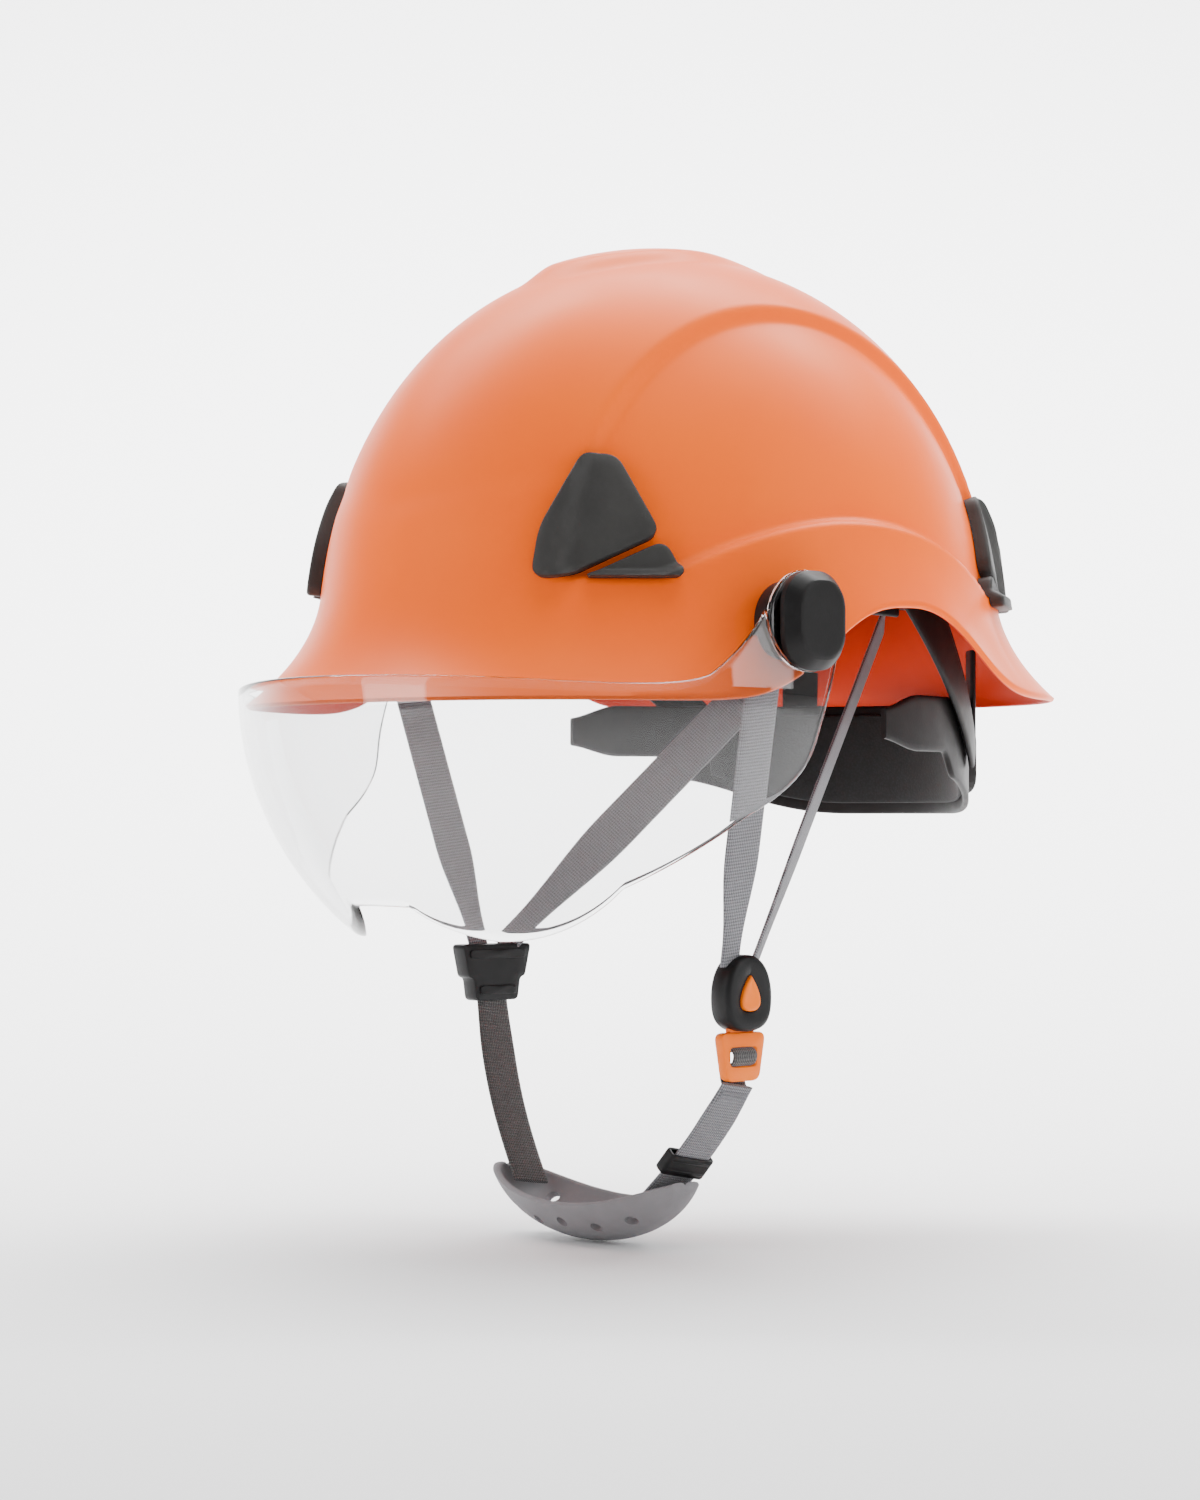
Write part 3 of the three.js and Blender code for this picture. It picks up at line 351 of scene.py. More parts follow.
def build_shell():
    sides, rows = 360, 150
    edge = 6
    rings = []
    for k in range(1, rows + 1):
        f = k / rows
        rings.append((f, 0))
    for k in range(1, edge):
        turn = math.pi * k / edge
        rings.append((1 + 0.011 * math.sin(turn), -WALL / 2 + WALL / 2 * math.cos(turn)))
    for k in range(rows, 0, -2):
        rings.append((k / rows, -WALL))
    points, faces = [], []
    for f, offset in rings:
        for i in range(sides):
            angle = 2 * math.pi * i / sides
            low = rim_z(angle)
            z = low + (CROWN - low) * math.cos(min(f, 1) * math.pi / 2)
            p = on_skin(angle, z, offset)
            p.z -= (max(f, 1) - 1) * 110
            points.append(p)
    for k in range(len(rings) - 1):
        for i in range(sides):
            j = (i + 1) % sides
            faces.append((k * sides + i, k * sides + j, (k + 1) * sides + j, (k + 1) * sides + i))
    for start, offset in ((0, 0), ((len(rings) - 1) * sides, -WALL)):
        points.append(on_skin(0, CROWN, offset))
        top = len(points) - 1
        for i in range(sides):
            faces.append((start + i, start + (i + 1) % sides, top))
    shell = mesh_piece("helmet_shell", points, faces, SHELL_ORANGE, angle=60)
    # Faces that look inwards take the darker copy, painted shade for the shell's inside.
    shell.data.materials.append(SHELL_INSIDE_PAINTED_SHADE)
    for face in shell.data.polygons:
        if face.normal.dot(face.center - Vector(SHELL_HEART)) < 0:
            face.material_index = 1
    declare(shell, "helmet", "shell_orange", "shell")


# ---- lamp clips ------------------------------------------------------------
def rounded_outline(corners, radius, steps=6):
    """A closed polygon whose corners are rounded, as a list of points."""
    points = []
    for i, here in enumerate(corners):
        here = np.array(here, float)
        before, after = np.array(corners[i - 1], float), np.array(corners[(i + 1) % len(corners)], float)
        reach_in = min(radius, np.linalg.norm(before - here) * 0.45)
        reach_out = min(radius, np.linalg.norm(after - here) * 0.45)
        start = here + (before - here) / np.linalg.norm(before - here) * reach_in
        end = here + (after - here) / np.linalg.norm(after - here) * reach_out
        for k in range(steps + 1):
            t = k / steps
            points.append((1 - t) ** 2 * start + 2 * t * (1 - t) * here + t * t * end)
    return points


def box_outline(half_a, half_b, radius, count):
    corners = [(-half_a, -half_b), (half_a, -half_b), (half_a, half_b), (-half_a, half_b)]
    return resampled(rounded_outline(corners, radius), count)


def resampled(points, count):
    """The closed polygon with evenly spaced points."""
    loop = np.array([*points, points[0]])
    lengths = np.concatenate([[0], np.cumsum(np.linalg.norm(np.diff(loop, axis=0), axis=1))])
    at = np.linspace(0, lengths[-1], count, endpoint=False)
    return np.stack([np.interp(at, lengths, loop[:, 0]), np.interp(at, lengths, loop[:, 1])], axis=1)


def cut_half(corners, point, direction, side):
    """The part of a convex polygon on one side of a line."""
    normal = np.array([-direction[1], direction[0]]) * side
    kept = []
    for i, here in enumerate(corners):
        here, after = np.array(here, float), np.array(corners[(i + 1) % len(corners)], float)
        a, b = np.dot(here - point, normal), np.dot(after - point, normal)
        if a >= 0:
            kept.append(here)
        if a * b < 0:
            kept.append(here + (after - here) * a / (a - b))
    return kept


CLIP_STAND_OFF = 5.0
CLIP_FORWARD = 15


def clip_point(u, v, offset, left, front, bottom):
    turn = math.radians(42.5)
    facing = Vector((left * math.cos(turn), front * math.sin(turn), 0))
    along = Vector((left * math.sin(turn), -front * math.cos(turn), 0))
    base = Vector((0, CENTRE_Y, bottom + v)) + along * (u - CLIP_FORWARD)
    low, high = 20.0, 180.0
    for _ in range(40):
        middle = (low + high) / 2
        p = base + facing * middle
        angle = math.atan2(p.y - CENTRE_Y, p.x)
        if math.hypot(p.x, p.y - CENTRE_Y) > skin_radius(angle, p.z):
            high = middle
        else:
            low = middle
    p = base + facing * low
    return p + outward(*p) * (rise_at(*p) + offset)


def build_clips():
    outline = [(-24, 0), (24, 0), (2, 40), (-8, 40), (-21.6, 15.2)]
    start, end = np.array([-12.0, 0.0]), np.array([17.3, 13.6])
    direction = (end - start) / np.linalg.norm(end - start)
    across = np.array([-direction[1], direction[0]])
    profile = [(0, 0.3), (0, 2.0), (0, 4.0), (0.25, 4.65), (0.8, CLIP_STAND_OFF)]
    for side_name, left in (("left", 1), ("right", -1)):
        for end_name, front in (("front", -1), ("rear", 1)):
            for part_name, side in (("hook", 1), ("wedge", -1)):
                corners = cut_half(outline, start + across * side * 1.2, direction, side)
                loop = resampled(rounded_outline(corners, 4.4), 96)
                middle = loop.mean(axis=0)
                bottom = 39.5 - (3.5 if front > 0 else 0)
                rings = []
                for inset, offset in profile:
                    out = loop - middle
                    length = np.linalg.norm(out, axis=1, keepdims=True)
                    ring = middle + out * (1 - inset / length)
                    rings.append([clip_point(u, v, offset, left, front, bottom) for u, v in ring])
                for scale in (0.8, 0.6, 0.4, 0.2, 0.05):
                    ring = middle + (loop - middle) * scale
                    rings.append([clip_point(u, v, CLIP_STAND_OFF, left, front, bottom) for u, v in ring])
                name = f"{end_name}_clip_{part_name}_{side_name}"
                piece = skin_rings("lamp_" + name, rings, CLIP_BLACK, angle=50)
                declare(piece, "helmet", "clip_black", name)


build_shell()
build_clips()


# ---- visor -----------------------------------------------------------------
VISOR = {
    "half_width": 117, "radius": 108, "centre_z": 8, "wall": 2,
    "tab": 16, "tab_x": 113.6, "tab_wall": 2.2,
}


def curve_points(start, control, end, steps=14):
    ts = np.linspace(0, 1, steps)[:, None]
    a, b, c = (np.array(p, float) for p in (start, control, end))
    return (1 - ts) ** 2 * a + 2 * ts * (1 - ts) * b + ts * ts * c


def visor_edges():
    """The lens's upper and lower edges as (forward, z) tables, forward measured from the pivot."""
    radius, zc = VISOR["radius"], VISOR["centre_z"]

    def at(forward, up):
        return (forward * radius, zc + up * radius)

    upper = [
        curve_points((9, PIVOT[1] + 11), at(0.2, 0.1), at(0.33, 0)),
        curve_points(at(0.33, 0), at(0.42, -0.05), at(0.8, -0.01)),
        np.array([at(1.05, 0.01)]),
    ]
    lower = [
        curve_points((-15, PIVOT[1] - 5), (-7, at(0, -0.075)[1]), (-4, at(0, -0.2)[1])),
        curve_points((-4, at(0, -0.2)[1]), (-1, at(0, -0.3)[1]), at(0.15, -0.39)),
        curve_points(at(0.15, -0.39), at(0.28, -0.5), at(0.415, -0.6)),
        curve_points(at(0.415, -0.6), at(0.455, -0.76), at(0.565, -0.76)),
        curve_points(at(0.565, -0.76), at(0.66, -0.74), at(0.74, -0.66)),
        np.array([at(1.05, -0.61)]),
    ]
    return np.concatenate(upper), np.concatenate(lower)


def lens_point(turn, z, inset):
    """A point of the lens at a plan angle from the side, a height, and a depth under the surface."""
    a, b = VISOR["half_width"] - inset, VISOR["radius"] - inset
    level = math.sqrt(max(1 - ((z - VISOR["centre_z"]) / b) ** 2, 0))
    return (a * level * math.cos(turn), PIVOT[0] - b * level * math.sin(turn), z)


def edge_height(table, turn, guess):
    """Where the meridian at this plan angle crosses an edge table."""
    z = guess
    for _ in range(60):
        level = math.sqrt(max(1 - ((z - VISOR["centre_z"]) / VISOR["radius"]) ** 2, 0))
        forward = VISOR["radius"] * level * math.sin(turn)
        z = lerp(z, float(np.interp(forward, table[:, 0], table[:, 1])), 0.5)
    return z


def lens_column(turn, upper, lower, rows=30):
    top = edge_height(upper, turn, 10)
    bottom = edge_height(lower, turn, -40)
    forward = VISOR["radius"] * math.sin(turn)
    hub = VISOR["tab"] - 0.5
    if forward < hub - 0.3:
        top = PIVOT[1] - math.sqrt(max(hub**2 - forward**2, 0))
    top = max(top, bottom + 0.5)
    wall = VISOR["wall"]
    heights = np.linspace(top, bottom, rows)
    ring = [lens_point(turn, z, 0) for z in heights]
    for k in range(1, 5):
        swing = math.pi * k / 5
        ring.append(lens_point(turn, bottom - 0.9 * math.sin(swing), wall / 2 * (1 - math.cos(swing))))
    ring += [lens_point(turn, z, wall) for z in heights[::-1]]
    for k in range(1, 5):
        swing = math.pi * k / 5
        ring.append(lens_point(turn, top + 0.9 * math.sin(swing), wall / 2 * (1 + math.cos(swing))))
    return ring


def disc(name, radius, x0, x1, bevel, material, side, hole=0.0, segments=72):
    """A disc on the pivot axis with rounded edges and, if asked, a bore."""
    profile = [(hole, x0), (radius - bevel, x0)]
    for k in range(1, 5):
        swing = math.pi / 2 * k / 4
        profile.append((radius - bevel + bevel * math.sin(swing), x0 + bevel - bevel * math.cos(swing)))
    for k in range(5):
        swing = math.pi / 2 * k / 4
        profile.append((radius - bevel + bevel * math.cos(swing), x1 - bevel + bevel * math.sin(swing)))
    profile.append((hole, x1))
    rings = []
    for r, x in profile:
        turns = [2 * math.pi * k / segments for k in range(segments)]
        rings.append([(side * x, PIVOT[0] + r * math.cos(t), PIVOT[1] + r * math.sin(t)) for t in turns])
    if hole:
        rings.append(rings[0])
    return skin_rings(name, rings, material, caps=not hole, angle=40)


def build_lens():
    upper, lower = visor_edges()
    start = -math.asin(14.9 / VISOR["radius"])
    near = np.linspace(start, 0.62, 70)
    middle = np.linspace(0.62, math.pi - 0.62, 110)[1:-1]
    turns = [*near, *middle, *(math.pi - near[::-1])]
    columns = [lens_column(turn, upper, lower) for turn in turns]
    lens = skin_rings("visor_sheet", columns, LENS, angle=50)
    for side_name, side in (("left", 1), ("right", -1)):
        x0 = VISOR["tab_x"]
        x1 = x0 + VISOR["tab_wall"]
        tab = disc("visor_tab_" + side_name, VISOR["tab"], x0, x1, 0.5, LENS, side, BORE_RADIUS)
        tab.parent = lens
    declare(lens, "visor", "lens_clear", "visor_lens")


def build_pivots():
    for side_name, side in (("left", 1), ("right", -1)):
        base = disc("pivot_disc_" + side_name, 13, 104.5, 113.1, 0.9, PIVOT_BLACK, side, BORE_RADIUS)
        declare(base, "helmet", "pivot_black", "pivot_base_" + side_name)
        axle = disc("pivot_pin_" + side_name, PIN_RADIUS, 108.4, 115.8, 0.3, PIVOT_BLACK, side)
        declare(axle, "visor", "pivot_black", "pivot_axle_" + side_name)
        half_y, half_z = 12.8, 15.6
        cut = 6.5
        corners = [
            (-half_y, -half_z + cut), (-half_y + cut, -half_z),
            (half_y - cut, -half_z), (half_y, -half_z + cut),
            (half_y, half_z - cut), (half_y - cut, half_z),
            (-half_y + cut, half_z), (-half_y, half_z - cut),
        ]
        loop = resampled(rounded_outline(corners, 5, 8), 120)
        rings = []
        profile = [(0.6, 116.1), (0, 116.7), (0, 118.6), (0.4, 119.3)]
        profile += [(2.7, 122.2), (3.2, 122.7), (4.0, 123.0), (4.6, 123.1)]
        for inset, x in profile:
            scale = np.array([(half_y - inset) / half_y, (half_z - inset) / half_z])
            rings.append([(side * x, PIVOT[0] + u, PIVOT[1] + v) for u, v in loop * scale])
        for scale in (0.5, 0.2):
            rings.append([(side * 123.1, PIVOT[0] + u, PIVOT[1] + v) for u, v in loop * scale])
        cap = skin_rings("pivot_cover_" + side_name, rings, PIVOT_BLACK, angle=24)
        declare(cap, "visor", "pivot_black", "pivot_cap_" + side_name)


build_lens()
build_pivots()


# ---- webbing ---------------------------------------------------------------
def tape(name, path, facing, width, thick, steps, material):
    """A strap of flat webbing along path(v), its face turned to facing(v), with yarn coordinates."""
    section = []
    for k in range(24):
        swing = 2 * math.pi * k / 24
        c, s = math.cos(swing), math.sin(swing)
        section.append((math.copysign(abs(c) ** 0.35, c), math.copysign(abs(s) ** 0.55, s)))
    rings, marks = [], []
    run = 0.0
    last = None
    for k in range(steps + 1):
        v = k / steps
        here = Vector(path(v))
        run += (here - last).length if last is not None else 0
        last = here
        ahead = (Vector(path(min(v + 0.01, 1))) - Vector(path(max(v - 0.01, 0)))).normalized()
        side = Vector(facing(v)).cross(ahead).normalized()
        up = ahead.cross(side)
        wide = width(v) if callable(width) else width
        ring = []
        for a, b in section:
            edge = 1 - 0.25 * max(abs(a) - 0.86, 0) / 0.14
            ring.append(here + side * (a * wide / 2) + up * (b * edge * thick / 2))
            marks.append((a * wide / 2 * MM, run * MM, 0))
        rings.append(ring)
    return skin_rings(name, rings, material, angle=50, attribute=marks)


def tack(name, centre, ahead, facing, width, length, material):
    """A bar tack: rows of raised thread sewn across a strap."""
    ahead = Vector(ahead).normalized()
    side = Vector(facing).cross(ahead).normalized()
    up = ahead.cross(side)
    points, faces = [], []
    rows = 5
    for k in range(rows):
        middle = Vector(centre) + ahead * (length * (k / (rows - 1) - 0.5))
        first = len(points)
        for a in range(15):
            for b in range(6):
                swing = 2 * math.pi * b / 6
                wobble = 0.12 * math.sin(a * 2.1 + k)
                offset = ahead * (0.42 * math.cos(swing) + wobble) + up * (0.34 * math.sin(swing))
                points.append(middle + side * (width * (a / 14 - 0.5)) + offset)
        for a in range(14):
            for b in range(6):
                c = (b + 1) % 6
                here = first + a * 6
                faces.append((here + b, here + c, here + 6 + c, here + 6 + b))
        faces.append(tuple(first + b for b in range(6))[::-1])
        faces.append(tuple(first + 84 + b for b in range(6)))
    return mesh_piece(name, points, faces, material, angle=60)


def folded_width(v):
    return lerp(TAPE["folded"], TAPE["width"], smooth(v, 0.05, 0.35))


# The four straps run a little way into the buckle and into the divider.
LOW_END = {1: -83.5, -1: -81.5}


def build_straps():
    for side_name, side in (("left", 1), ("right", -1)):
        low, high = Vector((side * 65, -25.6, LOW_END[side])), Vector((side * 95, -37, 20.9))
        front = tape(
            "webbing_front_" + side_name, lambda v, a=low, b=high: a.lerp(b, v),
            lambda v, s=side: (s, 0, 0), folded_width, TAPE["thick"], 40, WEBBING,
        )
        declare(front, "helmet", "webbing_grey", "front_strap_" + side_name)
        low, high = Vector((side * 65, -14.9, LOW_END[side])), Vector((side * 18, 93, 34.7))
        rear = tape(
            "webbing_rear_" + side_name, lambda v, a=low, b=high: a.lerp(b, v),
            lambda v, s=side: (s * 0.656, 0.755, 0), folded_width, TAPE["thick"], 50, WEBBING,
        )
        declare(rear, "helmet", "webbing_grey", "rear_strap_" + side_name)


def crown_tape(name, mirror, lift, node):
    turn = math.atan2(0.72, 0.69 * mirror)
    start = Vector((math.cos(turn), math.sin(turn), 0))
    foot = Vector((0, CENTRE_Y, 50.3))

    def path(v):
        rise = Vector((0, 0, (80 + lift) * math.sin(math.pi * v)))
        return foot + start * (96 * math.cos(math.pi * v)) + rise

    def facing(v):
        return start * math.cos(math.pi * v) + Vector((0, 0, math.sin(math.pi * v)))

    # The crown tapes take the darker webbing copy, painted shade for the inside of the shell.
    strap = tape(name, path, facing, CROWN_TAPE["width"], CROWN_TAPE["thick"], 90, WEBBING_PAINTED_SHADE)
    declare(strap, "helmet", "webbing_grey", node)


# ---- buckle ----------------------------------------------------------------
def bezier(start, *pieces, steps=18):
    points = [np.array(start, float)]
    for a, b, c in pieces:
        p0, p1, p2, p3 = points[-1], *(np.array(q, float) for q in (a, b, c))
        for k in range(1, steps + 1):
            t = k / steps
            near = (1 - t) ** 3 * p0 + 3 * (1 - t) ** 2 * t * p1
            points.append(near + 3 * (1 - t) * t * t * p2 + t**3 * p3)
    return points[:-1]


def egg(half_width, half_height):
    w, h = half_width, half_height
    return bezier(
        (0, -h),
        ((w * 0.9, -h), (w, -h * 0.55), (w, -h * 0.1)),
        ((w, h * 0.5), (w * 0.62, h), (0, h)),
        ((-w * 0.62, h), (-w, h * 0.5), (-w, -h * 0.1)),
        ((-w, -h * 0.55), (-w * 0.9, -h), (0, -h)),
    )


def teardrop(grow):
    w, h = 4.25 + grow, 5.75 + grow
    return bezier(
        (0, -h), ((w * 1.35, -h), (w * 1.1, 0), (0, h)), ((-w * 1.1, 0), (-w * 1.35, -h), (0, -h)), steps=40
    )


def flat_rings(loop, heights, middle_z, place):
    """Rings of a flat outline at (inset, x) heights; inset shrinks it towards its middle."""
    loop = np.array(loop)
    middle = loop.mean(axis=0)
    rings = []
    for inset, x in heights:
        out = loop - middle
        length = np.linalg.norm(out, axis=1, keepdims=True)
        ring = middle + out * np.maximum(1 - inset / length, 0.02)
        rings.append([(x, place + u, middle_z + v) for u, v in ring])
    return rings


def angular(loop, count=96):
    """The loop's points at evenly spaced directions from the origin, so that outlines can be joined."""
    loop = np.array(loop)
    turns = np.arctan2(loop[:, 1], loop[:, 0])
    lengths = np.linalg.norm(loop, axis=1)
    order = np.argsort(turns)
    turns, lengths = turns[order], lengths[order]
    turns = np.concatenate([turns - 2 * math.pi, turns, turns + 2 * math.pi])
    lengths = np.tile(lengths, 3)
    at = np.linspace(-math.pi, math.pi, count, endpoint=False)
    r = np.interp(at, turns, lengths)
    return np.stack([r * np.cos(at), r * np.sin(at)], axis=1)


def build_buckle():
    zc = -92.5
    outer, well = angular(egg(10.25, 12.5)), angular(teardrop(0.5))
    rings = []
    profile = [(4, 60.5), (1.2, 60.5), (0.4, 60.85), (0, 61.7)]
    profile += [(0, 67.6), (0.35, 68.6), (1.1, 69.3), (2.0, 69.5)]
    for inset, x in profile:
        rings += flat_rings(outer, [(inset, x)], zc, DIVIDER_Y)
    length = np.linalg.norm(well, axis=1, keepdims=True)
    dished = well / length * (length + 0.9)
    rings.append([(69.3, DIVIDER_Y + u, zc + v) for u, v in dished])
    rings.append([(68.9, DIVIDER_Y + u, zc + v) for u, v in well])
    rings.append([(66.8, DIVIDER_Y + u, zc + v) for u, v in well])
    body = skin_rings("chin_buckle", rings, BUCKLE_BLACK, angle=38)
    declare(body, "helmet", "buckle_black", "buckle_body")
    face = 69.5
    heights = [(0.5, 68.1), (0, 68.3), (0, face), (0.25, face + 0.35)]
    heights += [(0.8, face + 0.6), (1.6, face + 0.55), (2.6, face + 0.4)]
    loops = flat_rings(well * 0.93, heights, zc, DIVIDER_Y)
    button = skin_rings("chin_button", loops, BUCKLE_ORANGE, angle=50)
    declare(button, "button", "buckle_orange", "buckle_button")


def build_tongue():
    """The tongue: a tapered plate with a window, a strap bar and a blade that enters the buckle."""
    top = -105.3
    corners = [(-10, 0), (-7.2, -16), (7.2, -16), (10, 0)]
    outline = resampled(rounded_outline(corners[::-1], 3), 120)
    window = resampled(rounded_outline([(-5.5, -11), (5.5, -11), (5.5, -5), (-5.5, -5)], 1.2), 120)
    centre = np.array([0, -8.0])
    outer, inner = angular(outline - centre, 120) + centre, angular(window - centre, 120) + centre
    rings = []

    def ring(loop, grow, x):
        out = loop - centre
        length = np.linalg.norm(out, axis=1, keepdims=True)
        scaled = centre + out * (1 + grow / length)
        rings.append([(x, DIVIDER_Y + u, top + v) for u, v in scaled])

    for loop, grow, x in (
        (inner, 0, 62.5), (inner, 0.5, 62), (outer, -0.7, 62), (outer, -0.2, 62.25), (outer, 0, 62.8),
        (outer, 0, 65.2), (outer, -0.2, 65.75), (outer, -0.7, 66), (inner, 0.5, 66), (inner, 0, 65.5),
        (inner, 0, 62.5),
    ):
        ring(loop, grow, x)
    plate = skin_rings("buckle_plate", rings, BUCKLE_ORANGE, caps=False, angle=40)
    blade_loop = resampled(rounded_outline([(-5.5, -1), (5.5, -1), (5.5, 11), (-5.5, 11)], 1.5), 64)
    heights = [(0.5, 62.8), (0, 63.2), (0, 64.8), (0.5, 65.2)]
    loops = flat_rings(blade_loop, heights, top, DIVIDER_Y)
    blade = skin_rings("buckle_blade", loops, BUCKLE_ORANGE, angle=40)
    blade.parent = plate
    declare(plate, "chin", "buckle_orange", "buckle_tongue")


def build_divider():
    corners = [(-15.5, 0), (-12.9, -11.6), (-10.7, -12), (-9.5, -20)]
    corners += [(-y, z) for y, z in reversed(corners)]
    loop = angular(resampled(rounded_outline(corners, 1.6), 160) + np.array([0, 9.0]), 160)
    heights = [(5, -68.5), (1.0, -68.5), (0.25, -68.25), (0, -67.6)]
    heights += [(0, -62.4), (0.25, -61.75), (1.0, -61.5), (5, -61.5)]
    plate = skin_rings("strap_yoke", flat_rings(loop, heights, -89, DIVIDER_Y), BUCKLE_BLACK, angle=38)
    for z, half in ((-83.5, 12.6), (-96.2, 8.2)):
        bar = box_outline(half, 1.5, 1.2, 48)
        for x, name in ((-69.3, "outer"), (-61.6, "inner")):
            rows = [(0.7, x), (0, x + 0.3), (0, x + 0.7), (0.5, x + 0.9)]
            rib = skin_rings(f"yoke_rib_{name}_{int(-z)}", flat_rings(bar, rows, z, DIVIDER_Y), BUCKLE_BLACK)
            rib.parent = plate
    declare(plate, "helmet", "buckle_black", "strap_divider_right")


def curve_3d(stations):
    """A smooth path through (x, z) stations in the plane of the buckle."""
    knots = np.array(stations, float)
    padded = np.vstack([2 * knots[0] - knots[1], knots, 2 * knots[-1] - knots[-2]])

    def at(v):
        place = min(max(v, 0), 1) * (len(knots) - 1)
        k = min(int(place), len(knots) - 2)
        t = place - k
        a, b, c, d = padded[k : k + 4]
        bend, twist = 2 * a - 5 * b + 4 * c - d, 3 * b - a - 3 * c + d
        x, z = 0.5 * (2 * b + (c - a) * t + bend * t**2 + twist * t**3)
        return Vector((x, DIVIDER_Y - 0.5, z))

    return at


def normal_of(path, v):
    ahead = path(min(v + 0.01, 1)) - path(max(v - 0.01, 0))
    return Vector((-ahead.z, 0, ahead.x)).normalized()


def build_chin_straps():
    end = Vector((33, -28, -161))
    for side_name, side, top, bow, material in (
        ("left", 1, Vector((64, -21, -122.6)), 1.6, WEBBING),
        # The far right strap is the same tape as the left; its darker webbing copy is painted shade.
        ("right", -1, Vector((65, -20, -98.4)), 3.2, WEBBING_PAINTED_SHADE),
    ):
        def path(v, a=top, s=side, b=bow):
            p = a.lerp(end, v) + Vector((b, 0, -b * 0.6)) * math.sin(math.pi * v)
            return Vector((s * p.x, p.y, p.z))

        strap = tape(
            "webbing_chin_" + side_name, path, lambda v, s=side: (s, 0, 0),
            lambda v: lerp(13.5, TAPE["width"], smooth(v, 0, 0.3)), TAPE["thick"], 40, material,
        )
        if side > 0:
            threaded = curve_3d(
                [
                    (62.6, -124.5), (60.9, -120.5), (60.9, -117.8), (63.2, -116.2), (66.2, -115.2),
                    (67.2, -112.8), (66.0, -110.9), (63.6, -110.6), (61.4, -111.4),
                ]
            )
            # The threaded end takes the darker webbing copy, painted shade inside the buckle.
            loop = tape(
                "webbing_loop_left", threaded, lambda v: normal_of(threaded, v), 10.4, 1.3, 40, WEBBING_PAINTED_SHADE
            )
            loop.parent = strap
        ahead = path(1) - path(0)
        middle = path(0.12) + Vector((side * 0.85, 0, 0))
        sewn = tack("chin_tack_" + side_name, middle, ahead, (side, 0, 0), 11, 5, material)
        sewn.parent = strap
        declare(strap, "chin", "webbing_grey", "chin_strap_" + side_name)


build_straps()
crown_tape("webbing_crown_low", 1, 0, "crown_strap_lower")
crown_tape("webbing_crown_high", -1, 3, "crown_strap_upper")
build_buckle()
build_tongue()
build_divider()
build_chin_straps()


# ---- keeper and chin cup ---------------------------------------------------
def build_keeper():
    """A flat loop round the left chin strap: rounded edges, with the strap's slot through it."""
    top, end = Vector((64, -21, -123)), Vector((33, -28, -161))
    ahead = (end - top).normalized()
    middle = top.lerp(end, 0.68) + Vector((0.7, 0, -0.4))
    side = Vector((1, 0, 0)).cross(ahead).normalized()
    up = ahead.cross(side)
    outer = box_outline(9.5, 2.3, 1.5, 80)
    inner = box_outline(8, 1.25, 0.5, 80)
    rings = []
    stations = [
        (inner, 1, -3.5), (inner, 1.04, -3.9), (outer, 0.965, -4.0), (outer, 0.99, -3.7), (outer, 1, -3.1),
        (outer, 1, 3.1), (outer, 0.99, 3.7), (outer, 0.965, 4.0), (inner, 1.04, 3.9), (inner, 1, 3.5),
        (inner, 1, -3.5),
    ]
    for loop, scale, w in stations:
        rings.append([middle + side * (a * scale) + up * (b * scale) + ahead * w for a, b in loop])
    body = skin_rings("strap_slider", rings, BUCKLE_BLACK, caps=False, angle=40)
    for name, w in (("low", 2.2), ("high", -2.2)):
        rib = []
        for a, r in ((-8.2, 0.2), (-7.8, 0.6), (7.8, 0.6), (8.2, 0.2)):
            centre = middle + side * a + up * 2.25 + ahead * w
            turns = [2 * math.pi * k / 12 for k in range(12)]
            rib.append([centre + up * (0.45 * r * math.cos(t)) + ahead * (r * math.sin(t)) for t in turns])
        ridge = skin_rings("slider_ridge_" + name, rib, BUCKLE_BLACK, angle=60)
        ridge.parent = body
    declare(body, "keeper", "buckle_black", "strap_keeper")


